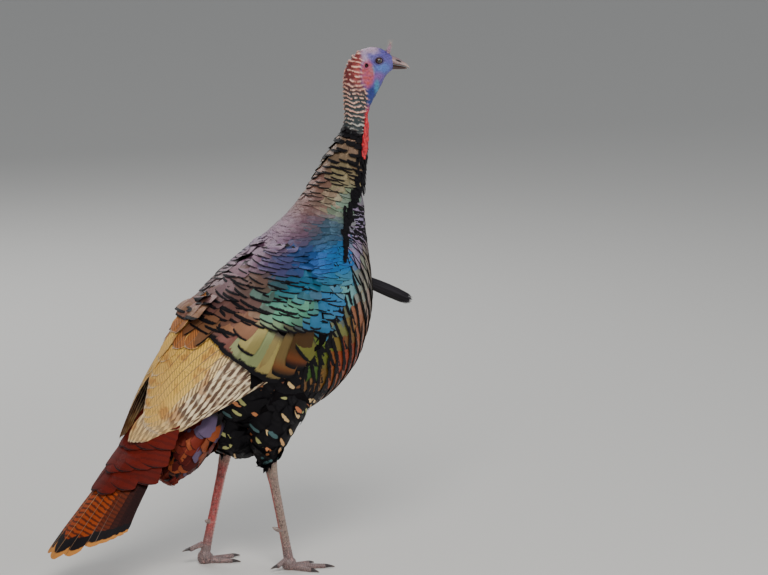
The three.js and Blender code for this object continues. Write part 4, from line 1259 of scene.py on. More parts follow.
lay_on_sheet(wing_coverts, wing, median_tips,
             runs_back(median_tips, slant, 64),
             covert_half(median_tips[:, 0]) + 1.5, (-4, -1.2, 0.6, 1.8), covert_colour, banded(0.06), 0.10,
             43, BOTH, wild=0.02)
for row in range(1, LESSER_ROWS + 1):
    line = [(stop - 0.028 * row, share - 0.062 * row) for stop, share in MEDIAN_LINE]
    tips = along_line(line, lambda stop: 1.4 * covert_half(stop))
    tips = tips[(tips[:, 1] > 0.03) & (tips[:, 0] > 0.1 + 0.016 * row)]
    if len(tips) == 0:
        continue
    tips = tips + np.random.default_rng(60 + row).normal(0, 1, tips.shape) * [0.04, 0.006]
    slant = np.interp(tips[:, 0], [0.5, 3, 4.2], [0.6, 0.25, 0.05])
    edge_share = smooth(0.0, 0.16, tips[:, 1])[:, None]
    lift = edge_share * np.array([0, 1.2, 1.4, 1.5]) * np.interp(row, [6, 11], [1, 0.2])
    levels = np.array([-4, -2.2, -0.8, 0.2]) + lift
    lay_on_sheet(wing_coverts, wing, tips, runs_back(tips, slant, 48),
                 covert_half(tips[:, 0]), levels, covert_colour,
                 banded(np.interp(row, [1, 6, 11], [0.065, 0.055, 0.03])), 0.11 + 0.015 * row, 50 + row, BOTH,
                 wild=0.035)
coverts_piece = wing_coverts.piece("wing_coverts", covert_vane, plumage)
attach(coverts_piece, "root")
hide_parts("wing_left_coverts", "wing_right_coverts")

# ---- Flight feathers of the wing ----
# Long stiff quills folded under the coverts. The inner ones lie on top, tan and finely marbled, with
# frayed pale tips; the tertials have orange edges; the primaries below are brown with white bars.
LONG_VANE_OUTLINE = [(0, 0.35), (0.15, 0.75), (0.5, 1.0), (0.85, 0.92), (0.95, 0.72), (1.0, 0.42)]
long_vane = vane_template("long_vane", LONG_VANE_OUTLINE,
                          34, 9, frayed=0.02, rounding=0.05)
shaft_rod = vane_template("shaft_rod", [(0, 1.0), (0.6, 0.7), (1.0, 0.25)], 12, 3, rounding=0)
BAR_LEAN = (0.10, 0.20)  # the slant of the bars, for the faintest, and what the boldest add
quills = Finish("marbled_quill", 0.6, Specular_IOR_Level=0.3)
TAN_END, BROWN_STAIN, BAR_DARK = (0.66, 0.40, 0.12, 1), (0.40, 0.15, 0.04, 1), (0.07, 0.018, 0.006, 1)
PALE_TIP, ORANGE_RIM = (0.62, 0.50, 0.36, 1), (0.78, 0.47, 0.13, 1)
vane_map, vane_at, across, look_at, tint = quills.vane()
boldness, rimmed = look_at["X"], look_at["Y"]

# The bars: their pace is the size of the look's last number, and its sign says which way they slant.
pace = quills.maths("ABSOLUTE", look_at["Z"])
waver = quills.swing(quills.grain(0.014, 2.0), quills.times(pace, 3.2))
lean = quills.plus(quills.times(boldness, BAR_LEAN[1]), BAR_LEAN[0])
lean = quills.times(quills.maths("SIGN", look_at["Z"]), lean)
slanted = quills.plus(vane_at["Y"], quills.swing(vane_at["X"], lean))
wave = quills.maths("SINE", quills.plus(quills.times(slanted, quills.times(pace, 100.0)), waver))
low_edge = quills.less(0.25, quills.times(boldness, 0.7))
bars = quills.step(wave, low_edge, quills.plus(low_edge, 0.7))
bars = quills.times(bars, quills.step(quills.grain(0.012, 1.0), 0.15, 0.5))
marble = quills.step(quills.grain(0.02, 4.0, vane_map, (1.2, 6.0, 1)), 0.42, 0.62)

# The colours: tan ends, brown stains, dark bars that fade at the end, and a frayed pale tip.
end_share = quills.times(quills.step(vane_at["Y"], 0.66, 0.9), quills.less(1.0, rimmed))
tint = quills.mix(quills.times(end_share, 0.8), tint, TAN_END)
stain = quills.times(quills.step(quills.grain(0.028, 3.0), 0.50, 0.64), 0.65)
tint = quills.mix(stain, tint, BROWN_STAIN)
dark = quills.mix(0.95, tint, BAR_DARK)
faded = quills.less(1.0, quills.times(end_share, 0.55))
share = quills.times(quills.times(bars, boldness), faded)
share = quills.maths("MAXIMUM", share, quills.times(marble, 0.25))
paler = quills.filtered(tint, (1.3, 1.25, 1.1, 1))
body_colour = quills.mix(share, quills.mix(quills.step(wave, -0.2, -0.95), tint, paler), dark)
pale_tip = quills.step(quills.bent(vane_at["Y"], across, 0.12), 0.955, 0.985)
body_colour = quills.mix(quills.times(pale_tip, 0.7), body_colour, PALE_TIP)
rim = quills.step(across, 0.42, 0.475)
quills.colour(quills.mix(quills.times(rim, rimmed), body_colour, ORANGE_RIM))
quills.bump(quills.barbs(vane_at, across, 420.0, -150.0), 0.0003, 0.4)
shaft_horn = Finish("shaft_horn", 0.4)
shaft_tint = shaft_horn.attribute("tint").outputs["Color"]
shaft_horn.colour(shaft_horn.mix(shaft_horn.grain(0.01), shaft_tint, (0.20, 0.12, 0.07, 1)))


SECONDARY_TIPS = [(5.9, 0.02), (6.35, 0.04), (6.7, 0.09), (6.95, 0.16), (7.2, 0.25), (7.42, 0.35),
                  (7.55, 0.46), (7.55, 0.57), (7.5, 0.67), (7.38, 0.77), (7.25, 0.85), (7.1, 0.91)]
PRIMARY_TIPS = [(9.0, 0.35), (8.8, 0.55), (8.5, 0.68), (8.2, 0.79), (7.9, 0.87), (7.55, 0.92), (7.2, 0.95),
                (6.8, 0.97)]
TERTIAL_TIPS = [(5.0, -0.06), (5.3, 0.1), (5.0, 0.22)]
TERTIAL_ROOTS = [(3.2, -0.02), (3.2, 0.12), (3.3, 0.24)]
QUILL_PATCH = (0.02, 0.025)
quill_feathers, quill_shafts = Feathers(), Feathers()


def lay_quills(sheet, tips, roots, halves, heights, tints, shaft, look, unwrap, seed, sides=(1,)):
    """Quills between places of a sheet, each with its shaft along the middle."""
    runs = np.array(tips, float) - np.array(roots, float)
    lay_on_sheet(quill_feathers, sheet, tips, runs, halves, heights, tints, look, unwrap, seed, sides,
                 QUILL_PATCH)
    lay_on_sheet(quill_shafts, sheet, tips, runs, 0.9, np.array(heights) + 0.55, shaft, look, unwrap, seed,
                 sides)


count = len(SECONDARY_TIPS)
order = np.linspace(0, 1, count)
TAN, RUFOUS, WHITE = (0.84, 0.52, 0.10), (0.44, 0.16, 0.045), (0.90, 0.76, 0.54)
SHAFT = (0.34, 0.22, 0.12)
levels = np.array([-4, -3.5, -2.2, -0.4]) - 4.2 * order[:, None]
lay_quills(wing, SECONDARY_TIPS, [(2.9 - 0.5 * f, 0.05 + 0.84 * f) for f in order],
           np.interp(order, [0, 0.5, 1], [23, 22, 15]), levels,
           over(np.tile(TAN, (count, 1)), WHITE, smooth(0.5, 0.75, order)), SHAFT,
           lambda many, draw: looks(many, np.interp(order, [0, 0.55, 0.68, 1], [0.45, 0.42, 0.95, 1.0]),
                                    0.15 * draw.random(many),
                                    np.interp(order, [0, 0.6, 0.72], [2.3, 2.2, 0.55])), 0.10, 71, BOTH)
count = len(PRIMARY_TIPS)
order = np.linspace(0, 1, count)
lay_quills(wing, PRIMARY_TIPS, [(1.7, 0.82 + 0.15 * f) for f in order], 14,
           np.array([-8, -7.5, -6.0, -3.0]) - 2 * order[:, None], WHITE, SHAFT,
           lambda many, draw: looks(many, 1.0, 0.1 * draw.random(many), 0.6), 0.16, 73, BOTH)
lay_quills(wing, TERTIAL_TIPS, TERTIAL_ROOTS, 19, [(-3, -1.5, -0.6, 0.8)] * 3, RUFOUS, SHAFT,
           lambda many, draw: looks(many, 0.6, 1.0, 1.2), 0.22, 75, BOTH)
quills_piece = quill_feathers.piece("wing_quills", long_vane, quills, 0.7)
shafts_piece = quill_shafts.piece("wing_shafts", shaft_rod, shaft_horn, 0.9)
for piece in (quills_piece, shafts_piece):
    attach(piece, "root")
for side in LEGS:
    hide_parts(f"wing_{side}_secondaries", f"wing_{side}_primaries")

# ---- Mantle ----
# Close rows of flat feathers run from the neck over the back, and over the upper edge of each wing.
# Those of the back end in broad black bars.
mantle_feathers = Feathers()
mantle_rows = station_rows(15.3, 22.6, ramp([15, 17.5, 18.5, 21], [5.5, 5.5, 8, 12]))
mantle_all = tract(mantle_rows, ramp([15, 18, 21], [21, 23, 30]), lambda t: (0, math.radians(88)),
                   23, 0.1)
covert_faces = [tuple(face.vertices) for face in coverts_piece.data.polygons]
COVERED = tree_of([outline_part, haunch_part, (points_of(coverts_piece.data), covert_faces)])


def depth_of_cover(places, shape, under):
    """How far a larger shape stands out over places of the body."""
    roots, outs, _, _ = body_flow(places)
    return np.array([np.linalg.norm(outermost(shape, root, out, 60)[0] - outermost(under, root, out, 60)[0])
                     for root, out in zip(roots, outs)])


# The mantle ends on the wing along a slanting line; beside the wing it goes on wherever the body is bare.
mantle_cover = depth_of_cover(mantle_all, COVERED, BODY)
mantle_edge = np.interp(mantle_all[:, 0], [17.5, 18.5, 19.3, 20, 21, 22.6], [88, 80, 66, 50, 38, 28])
within = (np.degrees(np.abs(mantle_all[:, 1])) < mantle_edge) & (mantle_cover < 28)
mantle_places = mantle_all[within | (mantle_cover < 3)]


def mantle_look(places, draw):
    """Black tips that widen down the back."""
    width = np.interp(places[:, 0], [15, 17.5, 19, 21], [0.015, 0.03, 0.08, 0.14])
    return looks(len(places), width * draw.uniform(0.8, 1.2, len(places)), 0, 0)


lay_on_body(mantle_feathers, COVERED, mantle_places, ramp([15, 18, 21], [28, 32, 46]),
            ramp([15, 18, 21], [16.5, 18, 23]),
            lambda t: np.array([-3, -1.4, 0, np.interp(t, [17, 18.5], [0.5, 1.3])]),
            IRIDESCENCE, mantle_look, 25, 0.06)
mantle_piece = mantle_feathers.piece("mantle_feathers", square_vane, plumage)
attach(mantle_piece, "root")

# ---- Tail ----
# Eighteen quills are folded in a low arch, the middle pair on top: rufous with fine dark bars, a black
# band and orange tips. Broad chestnut coverts lie over their upper half.
TAIL_BASE, TAIL_END = np.array([-110, 0, 368.0]), np.array([-381, 0, 56.0])
FAN = math.radians(54)
TAIL_QUILLS = 18


def tail(reach, across):
    """A place of the tail's upper face: how far down it, and how far across to the right."""
    reach, across = np.asarray(reach, float), np.asarray(across, float)
    along = TAIL_END - TAIL_BASE
    up = unit(np.array([along[2], 0, -along[0]]))
    open_share = np.clip(reach, 0, 1)
    radius = (60 + 28 * open_share) / FAN
    short = reach * (1 - 0.27 * np.abs(across) ** 1.6 * open_share)
    rise = radius * np.cos(across * FAN) - radius
    aside_run = radius * np.sin(across * FAN)
    middle = TAIL_BASE + short[..., None] * along + rise[..., None] * up
    return middle - aside_run[..., None] * np.array([0, 1, 0])


def barred(name, tip_colour, band_width, dark):
    """Vanes with fine dark bars, a black band towards the end and a paler tip."""
    finish = Finish(name, 0.55, Specular_IOR_Level=0.15)
    _, at, across, look, tint = finish.vane()
    waver = finish.swing(finish.grain(0.007, 2.0), 3.4)
    run = finish.times(finish.less(at["Y"], finish.times(across, 0.025)), finish.times(look["Z"], 100.0))
    bars = finish.step(finish.maths("SINE", finish.plus(run, waver)), -0.1, 0.7)
    shown = finish.mix(finish.times(bars, look["Y"]), tint, finish.mix(dark, tint, (0.01, 0.004, 0.003, 1)))
    edge = finish.plus(finish.bent(at["Y"], across, 0.12), finish.swing(finish.grain(0.005), 0.02))
    band = finish.step(edge, finish.less(look["X"], band_width + 0.008), finish.less(look["X"], band_width))
    shown = finish.mix(band, shown, (0.007, 0.005, 0.007, 1))
    tip = finish.step(edge, look["X"], finish.plus(look["X"], 0.012))
    finish.colour(finish.mix(tip, shown, tip_colour))
    finish.bump(finish.barbs(at, across, 420.0, -160.0), 0.0003, 0.4)
    return finish


TAIL_VANE_OUTLINE = [(0, 0.35), (0.2, 0.62), (0.6, 0.92), (0.9, 1.0), (0.975, 0.94), (1.0, 0.78)]
tail_vane = vane_template("tail_vane", TAIL_VANE_OUTLINE,
                          30, 9, frayed=0.005, rounding=0.035)
order = np.arange(TAIL_QUILLS)
MIDDLE_QUILL = 8.8
rank = np.abs(order - MIDDLE_QUILL)
place_across = np.sign(order - MIDDLE_QUILL) * np.interp(rank, [0, 1, 2, 3, 9],
                                                         [0.02, 0.30, 0.58, 0.72, 0.95])
tips = np.stack([1.0 - 0.008 * (order % 2), place_across], -1)
roots = np.stack([np.full(TAIL_QUILLS, 0.03), place_across * 0.6], -1)
side_dark = smooth(0.3, 0.8, np.abs(place_across))[:, None]
quill_tint = np.array((0.36, 0.055, 0.006)) * (1 - side_dark) + np.array((0.022, 0.004, 0.004)) * side_dark
shaft_tint = over(np.tile((0.52, 0.27, 0.11), (TAIL_QUILLS, 1)), (0.05, 0.012, 0.006), smooth(0.5, 1.6, rank))
tail_feathers, tail_shafts = Feathers(), Feathers()
drop = np.array([-3.5, -3, -2.0, -0.8]) - np.outer(rank, [0.9, 0.85, 0.75, 0.65])
for feathers, half, shift, colour, patch in (
    (tail_feathers, 22, 0, quill_tint, (0.02, 0.03)),
    (tail_shafts, 1.5, 0.7, shaft_tint, PATCH),
):
    lay_on_sheet(feathers, tail, tips, tips - roots, half, drop + shift, colour,
                 lambda many, draw: looks(many, 0.962, 1 - 0.5 * side_dark[:, 0], 2.6), 0.2, 81, patch=patch)
barred_tail = barred("barred_tail", (0.62, 0.25, 0.055, 1), 0.068, 0.75)
quills_piece = tail_feathers.piece("tail_quills", tail_vane, barred_tail, 0.7)
shafts_piece = tail_shafts.piece("tail_shafts", shaft_rod, shaft_horn, 0.9)
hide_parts("tail")
for piece in (quills_piece, shafts_piece):
    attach(piece, "root")

CHESTNUT = (0.13, 0.009, 0.004)
THICK_END = 0.66  # how far down the tail the coverts lie thicker than one vane
tail_coverts = Feathers()
for row, reach in enumerate((0.63, 0.52, 0.41, 0.30, 0.20)):
    spread = np.linspace(-1, 1, 6 + row % 2) * np.interp(reach, [0.24, 0.48], [0.60, 0.93])
    tips = np.stack([reach + 0.05 * (1 - np.abs(spread)), spread], -1)
    length = np.interp(reach, [0.16, 0.64], [0.17, 0.26])
    roots = np.stack([tips[:, 0] - length, spread * 0.72], -1)
    levels = []
    for k, sunk in enumerate((9, 6, 3, 1)):
        down_tail = np.clip(tips[:, 0] - length * (1 - k / 3), 0, THICK_END)
        levels.append(15 - 12 * down_tail ** 2 / THICK_END ** 2 - sunk)
    lay_on_sheet(tail_coverts, tail, tips, tips - roots, 27, np.maximum(np.stack(levels, -1), 0.6),
                 lambda course, draw: np.array(CHESTNUT) * draw.uniform(0.85, 1.15, (len(course), 1)),
                 lambda many, draw: looks(many, 0.985, 0.4, 0.42), 0.24 + 0.01 * row, 83 + row, wild=0.05)
COVERT_END_OUTLINE = [(0, 0.4), (0.4, 0.85), (0.75, 1.0), (0.92, 0.88), (1.0, 0.55)]
covert_end = vane_template("covert_end", COVERT_END_OUTLINE, 14, 9,
                           frayed=0.02, rounding=0.05)
barred_chestnut = barred("barred_chestnut", (0.10, 0.012, 0.006, 1), 0.02, 0.6)
coverts_piece = tail_coverts.piece("tail_coverts", covert_end, barred_chestnut, 0.5)
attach(coverts_piece, "root")
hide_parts("tail_coverts_upper")

# ---- Flanks, belly, thighs, rump and under the tail ----
# Looser feathers, velvet black, some with a short bar of bronze or cream before the tip. They are laid
# over the joined shape of the belly and thighs, and over the wedge of coverts under the tail.
TRIES = 14000
DEEPEST_HIDDEN, SEARCH_REACH = 8, 60  # places further under a shape's outside than this get no feather


def scattered(parts, shape, spacing, keep, seed):
    """Places a spacing apart on the outside of a shape, with the ways out of it."""
    draw = np.random.default_rng(seed)
    points, faces = parts
    corners = points[np.array(faces)]
    out = np.cross(corners[:, 1] - corners[:, 0], corners[:, 2] - corners[:, 0])
    area = np.linalg.norm(out, axis=1)
    pick = draw.choice(len(faces), TRIES, p=area / area.sum())
    u, v = draw.random((2, TRIES, 1))
    folded = u + v > 1
    u, v = np.where(folded, 1 - u, u), np.where(folded, 1 - v, v)
    a, b, c = np.moveaxis(corners[pick], 1, 0)
    spots, outs = a + u * (b - a) + v * (c - a), unit(out[pick])
    wanted = keep(spots, outs)
    chosen, ways_out = np.zeros((0, 3)), []
    for spot, way_out in zip(spots[wanted], outs[wanted]):
        if len(chosen) and np.min(np.sum((chosen - spot) ** 2, 1)) < spacing ** 2:
            continue
        if np.linalg.norm(outermost(shape, spot, way_out, SEARCH_REACH)[0] - spot) < DEEPEST_HIDDEN:
            chosen = np.concatenate([chosen, spot[None]])
            ways_out.append(way_out)
    return chosen, np.array(ways_out)


def lay_scattered(feathers, shape, spots, outs, way, length, half, heights, spot_colours, chance, look, seed):
    """Loose feathers at places of a shape: black ones, and some with colours by a chance for each place."""
    draw = np.random.default_rng(seed)
    many = len(spots)
    ways = way(spots) + 0.14 * draw.normal(size=(many, 3))
    lengths = length * draw.uniform(0.85, 1.15, many)
    bright = draw.random(many) < chance(spots)
    rises = np.array(heights) + draw.uniform(-0.5, 0.5, (many, 1)) * [0, 0.2, 0.6, 1]
    rises = rises + bright[:, None] * np.array([0, 0.4, 1.0, 1.2])
    courses, side_root, side_tip, bow = walk(shape, spots, outs, ways, lengths, rises)
    halves = half * draw.uniform(0.85, 1.12, many) * (1 + 0.15 * bright)
    colours = np.array(spot_colours)[draw.integers(0, len(spot_colours), many)]
    colours = colours * draw.uniform(0.7, 1.1, (many, 1))
    tint = np.where(bright[:, None], colours, VELVET_BLACK[:3])
    unwrap = np.stack([0.02 + 0.96 * (np.arange(many) * 0.618 % 1), 0.02 + 0.96 * np.arange(many) / many], -1)
    bowed = np.clip(bow * halves ** 2, -DEEPEST_BOW * halves, 0.3)
    feathers.lay(courses, side_root, side_tip, halves, bowed, tint, look, unwrap)


LOOSE_VANE_OUTLINE = [(0, 0.35), (0.3, 0.75), (0.65, 1.0), (0.88, 0.92), (1.0, 0.6)]
loose_vane = vane_template("loose_vane", LOOSE_VANE_OUTLINE, 8, 7,
                           frayed=0.06, rounding=0.05)
flank_feathers, under_feathers = Feathers(), Feathers()
FLANK_SPOTS = [(0.72, 0.50, 0.24), (0.60, 0.34, 0.15), (0.50, 0.17, 0.07), (0.62, 0.24, 0.10),
               (0.40, 0.40, 0.16), (0.07, 0.14, 0.15)]
UNDERTAIL_SPOTS = [(0.13, 0.09, 0.17), (0.26, 0.06, 0.02), (0.12, 0.012, 0.008), (0.16, 0.02, 0.010),
                   (0.08, 0.008, 0.006), (0.13, 0.014, 0.008)]
thigh_top = lambda spots: smooth(255, 215, spots[:, 2])
flank_way = lambda spots: np.stack([-0.62 + 0.3 * thigh_top(spots), 0 * spots[:, 0],
                                    np.full(len(spots), -0.8)], -1)
flank_parts = cad_shape(["belly", "thigh_left", "thigh_right", "trunk", "rump", "breast"])


def on_flank(spots, outs):
    """Behind the breast and below the wings, but not on top of anything."""
    behind = (spots[:, 0] < 62) | ((spots[:, 0] < 125) & (spots[:, 2] < 350) & (np.abs(spots[:, 1]) > 50))
    return behind & (spots[:, 2] < 430) & (outs[:, 2] < 0.75)


spots, outs = scattered(flank_parts, HAUNCH, 11.5, on_flank, 91)
lay_scattered(flank_feathers, HAUNCH, spots, outs, flank_way, 56, 13, (-5, -2.4, -0.5, 0.8), FLANK_SPOTS,
              lambda p: 0.34 * smooth(205, 245, p[:, 2]), (0.0, 0.0, 1.0), 92)
under_parts = cad_shape(["tail_coverts_under"])
UNDERTAIL = tree_of([under_parts])
spots, outs = scattered(under_parts, UNDERTAIL, 11, lambda p, n: p[:, 2] < 330, 93)
lay_scattered(under_feathers, UNDERTAIL, spots, outs, lambda p: np.tile((-0.6, 0, -0.8), (len(p), 1)), 50,
              11.5, (-4, -1.5, 0.5, 2.0), UNDERTAIL_SPOTS, lambda p: np.full(len(p), 0.7), (0.03, 0.0, 0.0),
              94)
rump_places = tract(station_rows(22.0, 25.6, lambda t: 11, 0.3), lambda t: 15,
                    lambda t: (0, math.radians(80)), 95)
lay_on_body(flank_feathers, BODY, rump_places, lambda t: 42, lambda t: 14,
            lambda t: np.array([-5, -2, 0.2, 1.6]), IRIDESCENCE, plain_look(0.3), 96)
flank_piece = flank_feathers.piece("flank_feathers", loose_vane, plumage)
under_piece = under_feathers.piece("undertail_feathers", loose_vane, plumage)
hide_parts("tail_coverts_under")
for piece in (flank_piece, under_piece):
    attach(piece, "root")

# ---- Eyes ----
# Dark brown eyes sit deep in the lids, with a wide black pupil under a clear bulge.
def tube(name, grid):
    """A closed tube through rings of points, its faces looking outwards."""
    faces = tube_faces(*grid.shape[:2])
    points = grid.reshape(-1, 3)
    heart = points.mean(0)
    a, b, c = (points[[face[k] for face in faces]] for k in range(3))
    if np.sum((a - heart) * np.cross(b - a, c - a)) < 0:
        faces = [face[::-1] for face in faces]
    thing = mesh_object(name, points, faces)
    thing.data.shade_smooth()
    return thing


def painted_piece(thing, shade, finish, slot, *nodes):
    set_colours(thing.data, "shade", shade)
    thing.data.materials.append(finish.material)
    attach(thing, "root")
    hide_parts(*nodes)


eyeball = Finish("eyeball", 0.12, Coat_Weight=1.0, Coat_Roughness=0.03)
eyeball.colour(eyeball.attribute("shade").outputs["Color"])
PUPIL, IRIS = 0.44, 0.92  # angles from the middle of the eye
EYE_RINGS, EYE_SIDES, POLE_GAP = 48, 64, 0.03
polar, spin = np.meshgrid(np.linspace(POLE_GAP, math.pi - POLE_GAP, EYE_RINGS),
                          all_round(EYE_SIDES), indexing="ij")
rays = 0.5 + 0.5 * np.sin(spin * 23 + 2 * np.sin(spin * 7))
iris = over(np.tile((0.050, 0.016, 0.008), polar.shape + (1,)), (0.13, 0.05, 0.02),
            0.5 * rays * bell(polar, 0.6, 0.2))
iris = over(iris, (0.004, 0.003, 0.003), 1 - smooth(PUPIL - 0.03, PUPIL + 0.02, polar))
iris = over(iris, (0.012, 0.006, 0.006), smooth(IRIS - 0.1, IRIS + 0.05, polar))
for name, side in (("right", RIGHT), ("left", LEFT)):
    out = np.stack([np.sin(polar) * np.cos(spin), side * np.cos(polar), np.sin(polar) * np.sin(spin)], -1)
    ball = EYE * [1, side, 1] + out * (EYE_RADIUS - 0.1 + 0.35 * bell(polar, 0, 0.5))[..., None]
    painted_piece(tube("eye_ball_" + name, turned(ball)), iris.reshape(-1, 3), eyeball, "eye", "eye_" + name)

# ---- Bill ----
# A short, stout bill with a slit of a nostril under a low fold, and a dark lower half.
UPPER_BILL = [(271, 878, 277, 861, 8.6), (285, 873, 287, 859.4, 7.2), (296, 867, 297, 857.8, 5.0),
              (304, 861, 304, 855.6, 2.8), (308.5, 855, 307, 853, 1.1)]
LOWER_BILL = [(277, 860, 280, 851.5, 7.6), (288, 858.4, 289, 851.5, 5.8), (297, 856.8, 297, 851.8, 3.8),
              (304, 854.6, 304, 852.4, 1.4)]
NOSTRIL, NOSTRIL_SLOPE = (289.0, 867.2), -0.42
UPPER_RINGS, LOWER_RINGS, BILL_SIDES = 60, 50, 64


def bill_grid(rows, rings):
    """Rings of a half of the bill, and the angle of each of their points from the top."""
    t, angle = np.meshgrid(np.linspace(0, len(rows) - 1, rings),
                           all_round(BILL_SIDES), indexing="ij")
    back_x, back_z, belly_x, belly_z, half = np.moveaxis(through(rows, t), -1, 0)
    rise = np.cos(angle) / 2
    x = (back_x + belly_x) / 2 + (back_x - belly_x) * rise
    z = (back_z + belly_z) / 2 + (back_z - belly_z) * rise
    return np.stack([x, half * np.sin(angle), z], -1), angle


horn = Finish("bill_horn", 0.34, Coat_Weight=0.25, Coat_Roughness=0.25, Subsurface_Weight=0.05,
              Subsurface_Scale=0.002)
horn_grain = horn.grain(0.0016, 4.0, None, (0.3, 1, 1))
painted = horn.attribute("shade").outputs["Color"]
horn.colour(horn.mix(horn.step(horn_grain, 0.35, 0.75), painted,
                     horn.filtered(painted, (0.72, 0.68, 0.66, 1))))
horn.bump(horn_grain, 0.0002, 0.5)
upper, angle = bill_grid(UPPER_BILL, UPPER_RINGS)
slit_x = upper[..., 0] - NOSTRIL[0]
slit_z = upper[..., 2] - NOSTRIL[1] - NOSTRIL_SLOPE * slit_x
slit = np.hypot(slit_x / 5.6, slit_z / 1.5)
edge_away = upper[..., 2] - through(UPPER_BILL, np.linspace(0, len(UPPER_BILL) - 1, UPPER_RINGS))[:, None, 3]
fold = 0.7 * bell(slit, 1.7, 0.5) * (slit_z > 0)
upper += grid_normals(upper) * (-1.4 * (1 - smooth(0.5, 1.1, slit)) + fold)[..., None]
tone = np.tile((0.36, 0.235, 0.235), upper.shape[:2] + (1,))
tone = over(tone, (0.56, 0.44, 0.38), 0.8 * smooth(292, 304, upper[..., 0]))
tone = over(tone, (0.17, 0.14, 0.19), 0.75 * bell(np.cos(angle), 1, 0.16) * smooth(306, 296, upper[..., 0]))
tone = over(tone, (0.62, 0.48, 0.46), 0.7 * bell(slit_z, -2.6, 0.9) * (slit < 3))
# The sunken nostril slit is painted near-black: painted shade in the hole.
tone = over(tone, (0.018, 0.010, 0.012), 1 - smooth(0.75, 1.2, slit))
tone = over(tone, (0.035, 0.018, 0.015), 1 - smooth(0.5, 1.4, edge_away))
painted_piece(tube("bill_top", turned(upper)), tone.reshape(-1, 3), horn, "bill_horn", "bill_upper")
lower, angle = bill_grid(LOWER_BILL, LOWER_RINGS)
tone = np.tile((0.055, 0.026, 0.022), lower.shape[:2] + (1,))
tone = over(tone, (0.34, 0.22, 0.18),
            smooth(-0.55, -0.85, np.cos(angle)) + 0.5 * smooth(300, 304, lower[..., 0]))
painted_piece(tube("bill_bottom", turned(lower)), tone.reshape(-1, 3), horn, "bill_horn", "bill_lower")

# ---- Snood and wattle ----
# The snood is a short wrinkled cone at the root of the bill with a few pale bristles. The wattle is a
# crimson flap with coarse folds down the front of the bare neck.
bristle = vane_template("bristle", [(0, 1.0), (0.6, 0.8), (1.0, 0.25)], 8, 3, rounding=0)


def folded(name, node, voxel, spread, height, skin_tone, painted_crease_shade, slot):
    """A fold of flesh made from its CAD node, wrinkled, with painted shade in its creases and painted
    highlights on patches.
    """
    thing = remeshed(name, [node], voxel, 0.2, 3)
    points = points_of(thing.data)
    out = vectors_of(thing.data, "normal")
    swell = 1 - ridges(points, spread, 0.45, 6.0)
    small = ridges(points, np.array(spread) * 0.4, 0.4, 16.0)
    rise = height * (swell - 0.7) - 0.25 * height * small
    set_points(thing.data, points + out * rise[:, None])
    thing.data.shade_smooth()
    # Darker in the creases and small wrinkles: painted shade.
    tone = over(np.tile(skin_tone, (len(points), 1)), painted_crease_shade,
                1 - smooth(0.0, 0.55, swell) + 0.25 * small)
    # Paler patches scattered by a noise: painted highlights on the flesh.
    tone = over(tone, np.array(skin_tone) * 1.6 + 0.03, 0.5 * smooth(0.1, 0.6, mottle(points, 3.0, 81)))
    painted_piece(thing, tone, flesh, slot, node)


folded("snood_fold", "snood", 0.45, (5, 5, 2.6), 0.7, (0.34, 0.20, 0.26), (0.12, 0.07, 0.13), "snood_skin")
folded("wattle_fold", "wattle", 0.9, (6, 6, 11), 1.5, (0.56, 0.012, 0.022), (0.20, 0.004, 0.010),
       "wattle_skin")
draw = np.random.default_rng(101)
head_bristles = Feathers()


def lay_bristles(feathers, starts, ends, half, tint):
    """Thin bristles from start to end points."""
    courses = np.stack([starts + (ends - starts) * k / 3 for k in range(4)], 1)
    side = unit(np.cross(ends - starts, (0.3, 1.0, 0.2)))
    spots = np.stack([0.03 + 0.9 * np.arange(len(starts)) / len(starts), np.full(len(starts), 0.02)], -1)
    feathers.lay(courses, side, side, half, 0.0, tint, (0.0, 0.5, 0.0), spots)


SNOOD_TIP = np.array([275.0, 0, 893.0])
SNOOD_BRISTLES, HEAD_BRISTLES = 26, 420
starts = SNOOD_TIP + draw.normal(0, 1, (SNOOD_BRISTLES, 3)) * [1.3, 1.2, 3.0] + [0, 0, -4]
ends = starts + draw.normal(0, 1, (SNOOD_BRISTLES, 3)) * [2.2, 2.2, 2.0] + np.array([1.2, 0, 8.0])
lay_bristles(head_bristles, turned(starts), turned(ends), 0.22, (0.50, 0.38, 0.33))
t, turn = draw.uniform(0.4, 8.5, HEAD_BRISTLES), draw.uniform(0, 2 * math.pi, HEAD_BRISTLES)
starts = straight_body(t, turn)
keep = np.abs(starts[:, 0] - EYE[0]) + np.abs(starts[:, 2] - EYE[2]) > 15
out = unit(straight_body(t, turn, 3) - starts)[keep]
back = unit(straight_body(t + 0.05, turn) - starts)[keep]
starts = (starts + 0.5)[keep]
ends = starts + out * draw.uniform(0.6, 1.6, (len(out), 1)) + back * draw.uniform(2.0, 4.5, (len(out), 1))
lay_bristles(head_bristles, turned(starts), turned(ends), 0.13, (0.025, 0.02, 0.022))
hair = Finish("bristle_hair", 0.55, Specular_IOR_Level=0.25)
hair.colour(hair.attribute("tint").outputs["Color"])
bristles_piece = head_bristles.piece("head_bristles", bristle, hair, 0.2)
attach(bristles_piece, "root")

